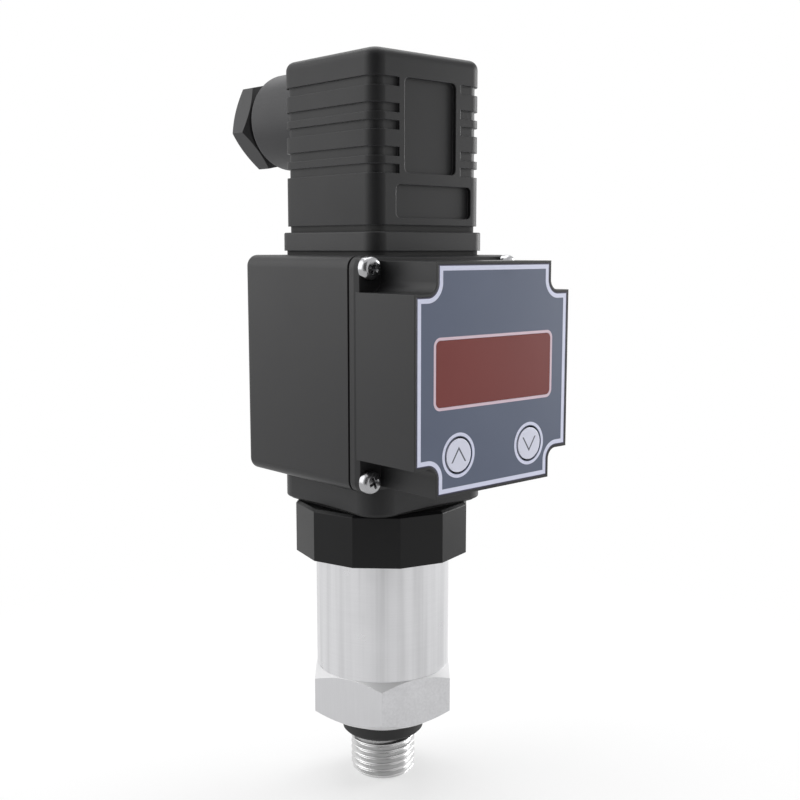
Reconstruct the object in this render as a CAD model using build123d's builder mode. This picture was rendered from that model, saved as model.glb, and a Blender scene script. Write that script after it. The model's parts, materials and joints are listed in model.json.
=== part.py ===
"""Pressure transmitter with a plug-in LED display head and a square four-pole cable connector.

Frame, in millimetres: +Z runs up the transmitter's axis, the display faces -Y and the cable
gland points to +Y. The origin lies on the thread axis, at the underside of the seal ring,
where the face of the pressure port sits.
"""

import os
from math import cos, radians, tan

from build123d import *

os.makedirs("parts", exist_ok=True)

# Clearances
slip_gap = 0.05  # around a turned spigot or a pin in its hole
part_gap = 0.1  # between two fitted mouldings or flat faces
moving_gap = 0.3  # around a moving button
cut_over = 1.0  # how far a cutting profile stands past the surface

# Process fitting
thread_dia = 13.157
thread_length = 9.0
tip_chamfer = 1.0
port_dia = 3.6
seal_bore = 11.6
seal_dia = 16.5
seal_thickness = 2.5
seal_bevel = 0.5
shoulder_height = 1.9
hex_flats = 27.0
hex_height = 10.2
hex_turn = 48.35
chamfer_angle = 32.0
washer_face_dia = 24.4
spigot_height = 3.5

# Pressure sensor
sensor_dia = 19.0
sensor_height = 8.0
sensor_rim = 1.6
diaphragm_depth = 0.8
ring_groove = 2.2
sensor_floor = 2.6
pin_dia = 0.9
pin_length = 7.8
pin_circle = 8.0
pin_count = 5
retainer_height = 2.4
retainer_bore = 13.0
retainer_slot = 1.2
retainer_slot_depth = 1.2

# Body tube and what stands in it
tube_dia = 26.9
tube_wall = 1.4
tube_exposed = 24.0
tube_entry = 5.4
sleeve_wall = 1.2
support_height = 2.5
board_thickness = 1.6
chip_width = 3.6
chip_length = 4.6
chip_height = 1.5
chip_circle = 15.6
chip_count = 4

# Twelve-sided plug base on the tube
base_flats = 33.9
base_height = 10.2
base_chamfer = 0.5
core_depth = 2.6

# Four-pole blade contacts, the same at both plug bases
blade_width = 6.3
blade_thickness = 0.8
blade_reach = 9.0
blade_height = 9.4
blade_tail = 2.5
blade_chamfer = 0.2
clip_wall = 0.7
clip_height = 8.5
lead_dia = 1.2

# Long fixing screw and the insert it goes into
screw_dia = 2.9
screw_head_dia = 5.6
screw_head_height = 2.0
screw_slot = 0.8
screw_slot_depth = 0.8
screw_end_room = 2.0
screw_seal_height = 0.8
insert_dia = 5.2
insert_height = 8.0
insert_floor = 1.0
guide_tube_dia = 5.0

# Display head
head_width = 39.8
head_height = 42.7
head_corner = 2.2
head_inner_corner = 1.1
head_rear_edge = 1.3
head_wall = 2.2
head_rear_y = 18.4
seam_y = -13.5
head_gasket_thickness = 1.2
boss_width = 30.3
boss_corner = 5.0
boss_height = 5.5
boss_edge = 0.4
boss_rim = 0.7
boss_lift = 0.3
socket_width = 23.0
socket_corner = 1.0
socket_lip = 1.5
socket_flange = 1.5
socket_height = 12.0

# Front cover
cover_gasket_thickness = 0.55
cover_gasket_inset = 0.35
cover_flange = 2.4
flange_bevel = 1.2
flange_bevel_inset = 0.3
cover_depth = 14.5
cover_wall = 2.0
raised_inset_x = 0.1
raised_inset_z = 0.95
notch_width = 5.1
notch_height = 5.45
notch_radius = 2.0
rim = 0.45
corner_screw_inset = 2.2
corner_screw_head_dia = 4.4
corner_screw_head_height = 1.7
corner_screw_head_edge = 1.0
corner_screw_dia = 2.4
corner_screw_length = 10.0
corner_pillar_dia = 5.4

# Display, buttons and their board
label_thickness = 0.25
window_width = 29.6
window_height = 11.6
window_corner = 1.0
window_above_centre = 1.25
window_ledge = 1.3
window_flange = 0.8
led_width = 27.6
led_height = 10.0
led_gap = 0.3
button_dia = 6.0
button_flange_dia = 7.6
button_flange_height = 0.8
button_spacing = 18.4
button_below_centre = 13.3
button_proud = 0.05
button_stem_dia = 3.2
button_travel = 0.4
board_depth = 9.4
post_dia = 4.0
post_x = 15.2
post_above = 10.7
post_below = 8.6
board_screw_dia = 1.8
board_screw_head_dia = 3.6
board_screw_head_height = 1.2
board_screw_length = 6.0
switch_size = 6.0
switch_height = 3.5
plunger_dia = 3.0
plunger_out = 1.8
plunger_in = 1.4
chip_row = 9.0

# Upper plug base
flange_width = 29.0
flange_corner = 3.0
flange_height = 3.5
flange_edge = 0.3
flange_gasket_thickness = 0.8
gasket_inset = 0.4
neck_dia = 21.0
neck_length = 10.0
lock_nut_flats = 25.0
lock_nut_height = 3.5
connector_gasket_thickness = 1.2

# Cable connector
connector_width = 27.7
connector_height = 31.3
connector_corner = 2.7
connector_inner_corner = 1.3
connector_edge = 1.8
connector_wall = 2.0
connector_roof = 4.5
groove_depth = 0.55
groove_height = 1.65
groove_drops = (5.05, 9.65, 12.7, 17.35, 20.4)
groove_end_x = 7.8
panel_depth = 0.8
panel_width = 13.0
panel_drop = 4.95
panel_height = 16.9
plate_width = 19.2
plate_drop = 24.0
plate_height = 6.0
plate_shift = 1.0
panel_corner = 1.0
block_height = 14.6
column_dia = 6.8
counterbore_depth = 3.4
terminal_pitch = 14.0
terminal_screw_dia = 2.4
terminal_head_dia = 3.8
terminal_head_height = 1.6
terminal_screw_length = 5.0

# Cable gland
gland_drop = 9.2
collar_dia = 19.8
collar_reach = 30.0
collar_edge = 0.5
gland_thread_dia = 15.2
gland_depth = 14.3
cable_hole_dia = 9.2
gland_seal_length = 5.0
gland_seal_bore = 8.0
ring_height = 1.2
ring_bore = 8.8
squeeze_travel = 1.2
nut_gap = 2.7
nut_flats = 17.0
nut_height = 5.5
nut_bore = 9.6
nut_turn = 47.0
nut_face_dia = 16.6

# Heights that follow from the stack
hex_bottom = seal_thickness + shoulder_height
hex_top = hex_bottom + hex_height
spigot_top = hex_top + spigot_height
pocket_floor = hex_bottom + sensor_floor
sensor_top = pocket_floor + sensor_height
tube_bore = tube_dia - 2 * tube_wall
sleeve_dia = tube_bore - 2 * part_gap
base_bottom = hex_top + tube_exposed
tube_top = base_bottom + tube_entry
base_top = base_bottom + base_height
core_bottom = base_bottom - core_depth
board_bottom = spigot_top + support_height
board_top = board_bottom + board_thickness
boss_bottom = base_top + boss_lift
head_bottom = boss_bottom + boss_height
head_top = head_bottom + head_height
head_centre = (head_bottom + head_top) / 2
floor_top = head_bottom + head_wall
socket_bottom = base_top + head_gasket_thickness
socket_top = socket_bottom + socket_height
flange_bottom = head_top + flange_gasket_thickness
flange_top = flange_bottom + flange_height
neck_bottom = flange_bottom - neck_length
connector_bottom = flange_top + connector_gasket_thickness
connector_top = connector_bottom + connector_height
block_top = connector_bottom + block_height
roof_bottom = connector_top - connector_roof
counterbore_floor = connector_top - counterbore_depth
screw_seat = counterbore_floor + screw_seal_height
gland_z = connector_top - gland_drop

# Depths that follow from the seam and the gland's mouth
cover_back_y = seam_y - cover_gasket_thickness
cover_step_y = cover_back_y - cover_flange
face_y = cover_step_y - cover_depth
label_back_y = face_y + label_thickness
inner_face_y = face_y + cover_wall
window_back_y = inner_face_y + window_flange
display_board_y = face_y + board_depth
switch_front_y = display_board_y - switch_height
board_rear_y = display_board_y + board_thickness
plunger_front_y = switch_front_y - plunger_out
window_z = head_centre + window_above_centre
button_z = head_centre - button_below_centre
seat_y = collar_reach - gland_depth
seal_end_y = seat_y + gland_seal_length
ring_y = seal_end_y + squeeze_travel + part_gap
screw_end_y = ring_y + ring_height + slip_gap
nut_y = collar_reach + nut_gap

# Places that repeat
screw_x = head_width / 2 - corner_screw_inset
screw_z = head_height / 2 - corner_screw_inset
corner_spots = [(x, z) for x in (-screw_x, screw_x) for z in (-screw_z, screw_z)]
post_spots = [(x, z) for x in (-post_x, post_x) for z in (-post_below, post_above)]
button_spots = {"up": -button_spacing / 2, "down": button_spacing / 2}
blade_spots = [
    Location((-blade_reach, 0, 0), (0, 0, 90)),
    Location((blade_reach, 0, 0), (0, 0, 90)),
    Location((0, -blade_reach, 0)),
    Location((0, blade_reach, 0)),
]
half_pitch = terminal_pitch / 2
terminal_spots = [(x, y) for x in (-half_pitch, half_pitch) for y in (-half_pitch, half_pitch)]
gland_axis = Axis((0, 0, gland_z), (0, 1, 0))
gland_section = Plane(origin=(0, 0, gland_z), x_dir=(0, 1, 0), z_dir=(1, 0, 0))


def head_plane(y):
    """An upright plane at depth y, centred on the display head; extruding goes forwards."""
    return Plane(origin=(0, y, head_centre), x_dir=(1, 0, 0), z_dir=(0, -1, 0))


def window_plane(y):
    """An upright plane at depth y, centred on the window; extruding goes forwards."""
    return Plane(origin=(0, y, window_z), x_dir=(1, 0, 0), z_dir=(0, -1, 0))


def button_plane(x, y):
    """An upright plane at depth y, centred on a button; extruding goes forwards."""
    return Plane(origin=(x, y, button_z), x_dir=(1, 0, 0), z_dir=(0, -1, 0))


def gland_plane(y):
    """A plane across the gland's axis; extruding goes outwards along the cable."""
    return Plane(origin=(0, y, gland_z), x_dir=(1, 0, 0), z_dir=(0, 1, 0))


def save(piece, name):
    """Labels a finished piece and writes it as its own STEP file."""
    piece.part.label = name
    export_step(piece.part, f"parts/{name}.step")


def notched_outline(inset):
    """The raised front's outline, drawn in by inset, with a filleted notch at each corner."""
    half_x = head_width / 2 - raised_inset_x
    half_z = head_height / 2 - raised_inset_z
    Rectangle(2 * (half_x - inset), 2 * (half_z - inset))
    corners = [(x, z) for x in (-half_x, half_x) for z in (-half_z, half_z)]
    notch_x = 2 * (notch_width + inset)
    notch_z = 2 * (notch_height + inset)
    with Locations(*corners):
        RectangleRounded(notch_x, notch_z, notch_radius + inset, mode=Mode.SUBTRACT)


# Process fitting: stud, seal groove, shoulder, wrench hexagon, spigot and sensor pocket
with BuildPart() as process_fitting:
    with BuildSketch(Plane.XY.offset(hex_bottom)):
        RegularPolygon(hex_flats / 2, 6, major_radius=False, rotation=hex_turn)
    extrude(amount=hex_height)
    past_corner = hex_flats / 2 / cos(radians(30)) + cut_over
    top_drop = (past_corner - tube_dia / 2) * tan(radians(chamfer_angle))
    bottom_rise = (past_corner - washer_face_dia / 2) * tan(radians(chamfer_angle))
    with BuildSketch(Plane.XZ):
        with BuildLine():
            Polyline(
                (0, hex_bottom),
                (washer_face_dia / 2, hex_bottom),
                (past_corner, hex_bottom + bottom_rise),
                (past_corner, hex_top - top_drop),
                (tube_dia / 2, hex_top),
                (0, hex_top),
                close=True,
            )
        make_face()
    revolve(axis=Axis.Z, mode=Mode.INTERSECT)
    groove_radius = seal_bore / 2 - slip_gap
    with BuildSketch(Plane.XZ):
        with BuildLine():
            Polyline(
                (0, -thread_length),
                (thread_dia / 2 - tip_chamfer, -thread_length),
                (thread_dia / 2, tip_chamfer - thread_length),
                (thread_dia / 2, 0),
                (groove_radius, 0),
                (groove_radius, seal_thickness),
                (seal_dia / 2, seal_thickness),
                (seal_dia / 2, hex_bottom),
                (0, hex_bottom),
                close=True,
            )
        make_face()
    revolve(axis=Axis.Z)
    with BuildSketch(Plane.XY.offset(hex_top)):
        Circle(tube_bore / 2 - slip_gap)
    extrude(amount=spigot_height)
    with BuildSketch(Plane.XY.offset(spigot_top)):
        Circle(sensor_dia / 2 + slip_gap)
    extrude(amount=pocket_floor - spigot_top, mode=Mode.SUBTRACT)
    with BuildSketch(Plane.XY.offset(pocket_floor)):
        Circle(sensor_dia / 2 - sensor_rim)
    extrude(amount=-diaphragm_depth, mode=Mode.SUBTRACT)
    with BuildSketch(Plane.XY.offset(pocket_floor)):
        Circle(port_dia / 2)
    extrude(amount=-pocket_floor - thread_length, mode=Mode.SUBTRACT)
save(process_fitting, "process_fitting")

# Profiled seal ring in the groove between the thread and the shoulder
with BuildPart() as seal_ring:
    with BuildSketch(Plane.XZ):
        with BuildLine():
            Polyline(
                (seal_bore / 2, 0),
                (seal_dia / 2 - seal_bevel, 0),
                (seal_dia / 2, seal_bevel),
                (seal_dia / 2, seal_thickness),
                (seal_bore / 2, seal_thickness),
                close=True,
            )
        make_face()
    revolve(axis=Axis.Z)
save(seal_ring, "seal_ring")

# Diaphragm sensor capsule with its O-ring groove and header pins
ring_groove_z = pocket_floor + (sensor_height - ring_groove) / 2
with BuildPart() as sensor_capsule:
    with BuildSketch(Plane.XY.offset(pocket_floor)):
        Circle(sensor_dia / 2)
    extrude(amount=sensor_height)
    with BuildSketch(Plane.XY.offset(ring_groove_z)):
        Circle(sensor_dia / 2)
        Circle(sensor_dia / 2 - ring_groove, mode=Mode.SUBTRACT)
    extrude(amount=ring_groove, mode=Mode.SUBTRACT)
    with BuildSketch(Plane.XY.offset(sensor_top)):
        with PolarLocations(pin_circle / 2, pin_count):
            Circle(pin_dia / 2)
    extrude(amount=pin_length)
save(sensor_capsule, "sensor_capsule")

# O-ring that seals the capsule in its pocket
with BuildPart() as sensor_o_ring:
    ring_centre = sensor_dia / 2 - ring_groove / 2
    with BuildSketch(Plane.XZ):
        with Locations((ring_centre, ring_groove_z + ring_groove / 2)):
            Circle(ring_groove / 2 - slip_gap)
    revolve(axis=Axis.Z)
save(sensor_o_ring, "sensor_o_ring")

# Slotted ring that holds the capsule down
with BuildPart() as sensor_retainer:
    with BuildSketch(Plane.XY.offset(sensor_top)):
        Circle(sensor_dia / 2)
        Circle(retainer_bore / 2, mode=Mode.SUBTRACT)
    extrude(amount=retainer_height)
    with BuildSketch(Plane.XY.offset(sensor_top + retainer_height)):
        Rectangle(sensor_dia + cut_over, retainer_slot)
    extrude(amount=-retainer_slot_depth, mode=Mode.SUBTRACT)
save(sensor_retainer, "sensor_retainer")

# Steel body tube on the hexagon's top face
with BuildPart() as body_tube:
    with BuildSketch(Plane.XY.offset(hex_top)):
        Circle(tube_dia / 2)
        Circle(tube_bore / 2, mode=Mode.SUBTRACT)
    extrude(amount=tube_top - hex_top)
save(body_tube, "body_tube")


def sleeve(name, lowest, highest):
    """An insulating ring inside the body tube."""
    with BuildPart() as made:
        with BuildSketch(Plane.XY.offset(lowest)):
            Circle(sleeve_dia / 2)
            Circle(sleeve_dia / 2 - sleeve_wall, mode=Mode.SUBTRACT)
        extrude(amount=highest - lowest)
    save(made, name)


sleeve("board_support_ring", spigot_top, board_bottom)
sleeve("spacer_sleeve", board_top, core_bottom)

# Amplifier board, on the sensor's header pins
with BuildPart() as amplifier_board:
    with BuildSketch(Plane.XY.offset(board_bottom)):
        Circle(sleeve_dia / 2)
        with PolarLocations(pin_circle / 2, pin_count):
            Circle(pin_dia / 2 + slip_gap, mode=Mode.SUBTRACT)
    extrude(amount=board_thickness)
save(amplifier_board, "amplifier_board")

# Chips on the amplifier board, between its four leads
with BuildPart() as amplifier_chips:
    with BuildSketch(Plane.XY.offset(board_top)):
        with PolarLocations(chip_circle / 2, chip_count, start_angle=180 / chip_count):
            Rectangle(chip_width, chip_length)
    extrude(amount=chip_height)
save(amplifier_chips, "amplifier_chips")

# Twelve-sided plug base: cap over the tube's end, core in its bore, slots and screw hole
with BuildPart() as plug_base:
    with BuildSketch(Plane.XY.offset(base_bottom)):
        RegularPolygon(base_flats / 2, 12, major_radius=False)
    extrude(amount=base_height)
    chamfer(plug_base.faces().sort_by(Axis.Z)[-1].edges(), base_chamfer)
    with BuildSketch(Plane.XY.offset(base_bottom)):
        Circle(tube_dia / 2 + slip_gap)
        Circle(tube_bore / 2 - slip_gap, mode=Mode.SUBTRACT)
    extrude(amount=tube_entry + part_gap, mode=Mode.SUBTRACT)
    with BuildSketch(Plane.XY.offset(core_bottom)):
        Circle(tube_bore / 2 - slip_gap)
    extrude(amount=core_depth)
    with BuildSketch(Plane.XY.offset(base_top)):
        Circle(insert_dia / 2)
    extrude(amount=-insert_height, mode=Mode.SUBTRACT)
    with BuildSketch(Plane.XY.offset(base_top)):
        with Locations(*blade_spots):
            Rectangle(blade_width + part_gap, blade_thickness + part_gap)
    extrude(amount=core_bottom - base_top, mode=Mode.SUBTRACT)
save(plug_base, "plug_base")


def blades(name, lowest, face):
    """Four flat contacts that stand from a plug base's face, with their tails below."""
    with BuildPart() as made:
        with BuildSketch(Plane.XY.offset(lowest - blade_tail)):
            with Locations(*blade_spots):
                Rectangle(blade_width, blade_thickness)
        extrude(amount=face + blade_height - lowest + blade_tail)
        tips = made.faces().group_by(Axis.Z)[-1].edges()
        short_edge = blade_thickness + blade_chamfer
        chamfer(tips.filter_by(lambda edge: edge.length > short_edge), blade_chamfer)
    save(made, name)


def leads(name, lowest, highest):
    """Four straight insulated leads, one at each blade."""
    with BuildPart() as made:
        with BuildSketch(Plane.XY.offset(lowest)):
            with Locations(*blade_spots):
                Circle(lead_dia / 2)
        extrude(amount=highest - lowest)
    save(made, name)


def spring_contacts(name, lowest):
    """Four socket sleeves, one round each blade."""
    with BuildPart() as made:
        with BuildSketch(Plane.XY.offset(lowest)):
            with Locations(*blade_spots):
                Rectangle(blade_width + 2 * clip_wall, blade_thickness + 2 * clip_wall)
            with Locations(*blade_spots):
                Rectangle(
                    blade_width + part_gap, blade_thickness + part_gap, mode=Mode.SUBTRACT
                )
        extrude(amount=clip_height)
    save(made, name)


def flat_gasket(name, width, corner, lowest, thickness):
    """A square gasket with slots for the blades and a hole for the long screw."""
    with BuildPart() as made:
        with BuildSketch(Plane.XY.offset(lowest)):
            RectangleRounded(width, width, corner)
            Circle(screw_dia / 2 + part_gap, mode=Mode.SUBTRACT)
            with Locations(*blade_spots):
                Rectangle(
                    blade_width + part_gap, blade_thickness + part_gap, mode=Mode.SUBTRACT
                )
        extrude(amount=thickness)
    save(made, name)


blades("base_blades", core_bottom, base_top)
leads("base_leads", board_top, core_bottom - blade_tail)

# Threaded insert in the plug base, blind at its lower end
with BuildPart() as base_insert:
    with BuildSketch(Plane.XY.offset(base_top)):
        Circle(insert_dia / 2 - slip_gap)
    extrude(amount=-insert_height)
    with BuildSketch(Plane.XY.offset(base_top)):
        Circle(screw_dia / 2 + slip_gap)
    extrude(amount=insert_floor - insert_height, mode=Mode.SUBTRACT)
save(base_insert, "base_insert")

# Gasket between the plug base and the display head
head_gasket_width = boss_width - 2 * boss_rim - 2 * part_gap
flat_gasket(
    "head_gasket", head_gasket_width, boss_corner - boss_rim, base_top, head_gasket_thickness
)

# Rear housing: a deep box open to the front, with corner pillars and a square boss below
with BuildPart() as head_rear_housing:
    head_depth = head_rear_y - seam_y
    with BuildSketch(head_plane(head_rear_y)):
        RectangleRounded(head_width, head_height, head_corner)
    extrude(amount=head_depth)
    fillet(head_rear_housing.faces().sort_by(Axis.Y)[-1].edges(), head_rear_edge)
    with BuildSketch(Plane.XY.offset(boss_bottom)):
        RectangleRounded(boss_width, boss_width, boss_corner)
    extrude(amount=boss_height - part_gap)
    fillet(head_rear_housing.faces().sort_by(Axis.Z)[0].edges(), boss_edge)
    with BuildSketch(Plane.XY.offset(head_bottom - part_gap)):
        with Locations((0, seam_y + boss_width / 2)):
            RectangleRounded(boss_width, boss_width, boss_corner)
        RectangleRounded(boss_width, boss_width, boss_corner, mode=Mode.INTERSECT)
    extrude(amount=part_gap + head_wall)
    with BuildSketch(head_plane(head_rear_y - head_wall)):
        inner_width = head_width - 2 * head_wall
        inner_height = head_height - 2 * head_wall
        RectangleRounded(inner_width, inner_height, head_inner_corner)
    extrude(amount=head_depth - head_wall, mode=Mode.SUBTRACT)
    with BuildSketch(head_plane(seam_y)):
        with Locations(*corner_spots):
            Circle(corner_pillar_dia / 2)
        RectangleRounded(head_width, head_height, head_corner, mode=Mode.INTERSECT)
    extrude(amount=-corner_screw_length - head_wall)
    with BuildSketch(head_plane(seam_y)):
        with Locations(*corner_spots):
            Circle(corner_screw_dia / 2 + slip_gap)
    extrude(amount=-corner_screw_length, mode=Mode.SUBTRACT)
    socket_hole = socket_width + 2 * part_gap
    with BuildSketch(Plane.XY.offset(boss_bottom)):
        RectangleRounded(socket_hole, socket_hole, socket_corner)
    extrude(amount=floor_top - boss_bottom, mode=Mode.SUBTRACT)
    gasket_recess = boss_width - 2 * boss_rim
    with BuildSketch(Plane.XY.offset(boss_bottom)):
        RectangleRounded(gasket_recess, gasket_recess, boss_corner - boss_rim)
    extrude(amount=head_gasket_thickness - boss_lift, mode=Mode.SUBTRACT)
    with BuildSketch(Plane.XY.offset(head_top)):
        Circle(neck_dia / 2 + part_gap)
    extrude(amount=-head_wall, mode=Mode.SUBTRACT)
save(head_rear_housing, "head_rear_housing")

# Socket block in the boss, with its lip on the housing's floor
with BuildPart() as head_socket:
    with BuildSketch(Plane.XY.offset(socket_bottom)):
        RectangleRounded(socket_width, socket_width, socket_corner)
    extrude(amount=socket_height)
    lip_width = socket_width + 2 * socket_lip
    with BuildSketch(Plane.XY.offset(floor_top)):
        RectangleRounded(lip_width, lip_width, socket_corner + socket_lip)
    extrude(amount=socket_flange)
    with BuildSketch(Plane.XY.offset(socket_bottom)):
        with Locations(*blade_spots):
            pocket_width = blade_width + 2 * clip_wall + part_gap
            pocket_depth = blade_thickness + 2 * clip_wall + part_gap
            Rectangle(pocket_width, pocket_depth)
    extrude(amount=blade_height + part_gap, mode=Mode.SUBTRACT)
    with BuildSketch(Plane.XY.offset(socket_bottom)):
        Circle(screw_dia / 2 + part_gap)
        with Locations(*blade_spots):
            Circle(lead_dia / 2 + part_gap)
    extrude(amount=socket_height, mode=Mode.SUBTRACT)
save(head_socket, "head_socket")

spring_contacts("socket_contacts", socket_bottom)
leads("head_leads", socket_bottom + clip_height, neck_bottom - blade_tail)

# Tube that guides the long screw through the display head
with BuildPart() as guide_tube:
    with BuildSketch(Plane.XY.offset(socket_top)):
        Circle(guide_tube_dia / 2)
        Circle(screw_dia / 2 + part_gap, mode=Mode.SUBTRACT)
    extrude(amount=neck_bottom - socket_top - slip_gap)
save(guide_tube, "guide_tube")

# Gasket in the seam between housing and cover
with BuildPart() as cover_gasket:
    with BuildSketch(head_plane(seam_y)):
        gasket_width = head_width - 2 * cover_gasket_inset
        gasket_height = head_height - 2 * cover_gasket_inset
        RectangleRounded(gasket_width, gasket_height, head_corner)
        with Locations(*corner_spots):
            Circle(corner_screw_dia / 2 + part_gap, mode=Mode.SUBTRACT)
    extrude(amount=cover_gasket_thickness)
    with BuildSketch(head_plane(seam_y)):
        notched_outline(cover_wall)
    extrude(amount=cover_gasket_thickness, mode=Mode.SUBTRACT)
save(cover_gasket, "cover_gasket")

# Front cover: flange, raised front with notched corners, posts, window and button holes
with BuildPart() as front_cover:
    with BuildSketch(head_plane(cover_back_y)):
        RectangleRounded(head_width, head_height, head_corner)
    extrude(amount=cover_flange)
    step_face = front_cover.faces().sort_by(Axis.Y)[0]
    chamfer(step_face.edges(), flange_bevel_inset, flange_bevel, reference=step_face)
    with BuildSketch(head_plane(cover_back_y)):
        notched_outline(0)
    extrude(amount=cover_flange + cover_depth)
    with BuildSketch(head_plane(cover_back_y)):
        notched_outline(cover_wall)
    extrude(amount=cover_back_y - inner_face_y, mode=Mode.SUBTRACT)
    with BuildSketch(head_plane(inner_face_y)):
        with Locations(*post_spots):
            Circle(post_dia / 2)
    extrude(amount=inner_face_y - display_board_y)
    with BuildSketch(head_plane(display_board_y)):
        with Locations(*post_spots):
            Circle(board_screw_dia / 2 + slip_gap)
    extrude(amount=board_screw_length - board_thickness, mode=Mode.SUBTRACT)
    with BuildSketch(head_plane(label_back_y)):
        notched_outline(rim)
    extrude(amount=label_thickness, mode=Mode.SUBTRACT)
    with BuildSketch(window_plane(inner_face_y)):
        RectangleRounded(window_width, window_height, window_corner)
    extrude(amount=cover_wall, mode=Mode.SUBTRACT)
    with BuildSketch(head_plane(inner_face_y)):
        with Locations(*[(x, button_z - head_centre) for x in button_spots.values()]):
            Circle(button_dia / 2 + moving_gap)
    extrude(amount=cover_wall, mode=Mode.SUBTRACT)
    with BuildSketch(head_plane(cover_back_y)):
        with Locations(*corner_spots):
            Circle(corner_screw_dia / 2 + part_gap)
    extrude(amount=cover_flange, mode=Mode.SUBTRACT)
save(front_cover, "front_cover")

# Four pan-head screws in the cover's notches
with BuildPart() as cover_screws:
    with BuildSketch(head_plane(cover_step_y)):
        with Locations(*corner_spots):
            Circle(corner_screw_head_dia / 2)
    extrude(amount=corner_screw_head_height)
    fillet(cover_screws.faces().group_by(Axis.Y)[0].edges(), corner_screw_head_edge)
    with BuildSketch(head_plane(cover_step_y)):
        with Locations(*corner_spots):
            Circle(corner_screw_dia / 2)
    extrude(amount=-corner_screw_length)
save(cover_screws, "cover_screws")

# Printed front label, open at the window and at the buttons
with BuildPart() as front_label:
    with BuildSketch(head_plane(label_back_y)):
        notched_outline(rim + slip_gap)
        with Locations((0, window_above_centre)):
            RectangleRounded(window_width, window_height, window_corner, mode=Mode.SUBTRACT)
        with Locations(*[(x, -button_below_centre) for x in button_spots.values()]):
            Circle(button_dia / 2 + moving_gap, mode=Mode.SUBTRACT)
    extrude(amount=label_thickness)
save(front_label, "front_label")

# Red window, stepped so that its flange lies behind the cover's wall
with BuildPart() as display_window:
    clear_width = window_width - 2 * slip_gap
    clear_height = window_height - 2 * slip_gap
    with BuildSketch(window_plane(inner_face_y)):
        RectangleRounded(clear_width, clear_height, window_corner)
    extrude(amount=cover_wall)
    with BuildSketch(window_plane(window_back_y)):
        Rectangle(window_width + 2 * window_ledge, window_height + 2 * window_ledge)
    extrude(amount=window_flange)
save(display_window, "display_window")

# Four-digit display module, on the front of its board
with BuildPart() as led_display:
    with BuildSketch(window_plane(display_board_y)):
        Rectangle(led_width, led_height)
    extrude(amount=display_board_y - window_back_y - led_gap)
save(led_display, "led_display")

# Display board on the cover's posts
with BuildPart() as display_board:
    with BuildSketch(head_plane(board_rear_y)):
        notched_outline(cover_wall + moving_gap)
        with Locations(*post_spots):
            Circle(board_screw_dia / 2 + part_gap, mode=Mode.SUBTRACT)
    extrude(amount=board_thickness)
save(display_board, "display_board")

# Chips on the back of the display board
with BuildPart() as display_chips:
    with BuildSketch(head_plane(board_rear_y)):
        with GridLocations(chip_row, chip_row, 2, 2):
            Rectangle(chip_length, chip_width)
    extrude(amount=-chip_height)
save(display_chips, "display_chips")

# Four small screws that hold the display board
with BuildPart() as board_screws:
    with BuildSketch(head_plane(board_rear_y)):
        with Locations(*post_spots):
            Circle(board_screw_head_dia / 2)
    extrude(amount=-board_screw_head_height)
    with BuildSketch(head_plane(board_rear_y)):
        with Locations(*post_spots):
            Circle(board_screw_dia / 2)
    extrude(amount=board_screw_length - slip_gap)
save(board_screws, "board_screws")


def button_parts(side, x):
    """A button with its stem, and the small switch with the plunger that it presses."""
    with BuildPart() as button:
        with BuildSketch(button_plane(x, inner_face_y + part_gap)):
            Circle(button_dia / 2)
        extrude(amount=inner_face_y + part_gap - face_y + button_proud)
        with BuildSketch(button_plane(x, inner_face_y + part_gap)):
            Circle(button_flange_dia / 2)
        extrude(amount=-button_flange_height)
        stem_y = inner_face_y + part_gap + button_flange_height
        with BuildSketch(button_plane(x, stem_y)):
            Circle(button_stem_dia / 2)
        extrude(amount=stem_y - plunger_front_y + slip_gap)
    save(button, f"{side}_button")
    with BuildPart() as switch:
        with BuildSketch(button_plane(x, display_board_y)):
            Rectangle(switch_size, switch_size)
        extrude(amount=switch_height)
        with BuildSketch(button_plane(x, switch_front_y)):
            Circle(plunger_dia / 2 + slip_gap)
        extrude(amount=-plunger_in - button_travel - part_gap, mode=Mode.SUBTRACT)
    save(switch, f"{side}_switch")
    with BuildPart() as plunger:
        with BuildSketch(button_plane(x, switch_front_y + plunger_in)):
            Circle(plunger_dia / 2)
        extrude(amount=plunger_in + plunger_out)
    save(plunger, f"{side}_plunger")


for side, x in button_spots.items():
    button_parts(side, x)

# Upper plug base: square flange, threaded neck, slots and the long screw's hole
with BuildPart() as top_plug_base:
    with BuildSketch(Plane.XY.offset(flange_bottom)):
        RectangleRounded(flange_width, flange_width, flange_corner)
    extrude(amount=flange_height)
    fillet(top_plug_base.faces().sort_by(Axis.Z)[-1].edges(), flange_edge)
    with BuildSketch(Plane.XY.offset(neck_bottom)):
        Circle(neck_dia / 2)
    extrude(amount=neck_length)
    with BuildSketch(Plane.XY.offset(neck_bottom)):
        Circle(screw_dia / 2 + part_gap)
        with Locations(*blade_spots):
            Rectangle(blade_width + part_gap, blade_thickness + part_gap)
    extrude(amount=neck_length + flange_height, mode=Mode.SUBTRACT)
save(top_plug_base, "top_plug_base")

blades("top_blades", neck_bottom, flange_top)

# Gasket under the upper plug base's flange
with BuildPart() as flange_gasket:
    with BuildSketch(Plane.XY.offset(head_top)):
        gasket_width = flange_width - 2 * gasket_inset
        RectangleRounded(gasket_width, gasket_width, flange_corner)
        Circle(neck_dia / 2 + part_gap, mode=Mode.SUBTRACT)
    extrude(amount=flange_gasket_thickness)
save(flange_gasket, "flange_gasket")

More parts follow.
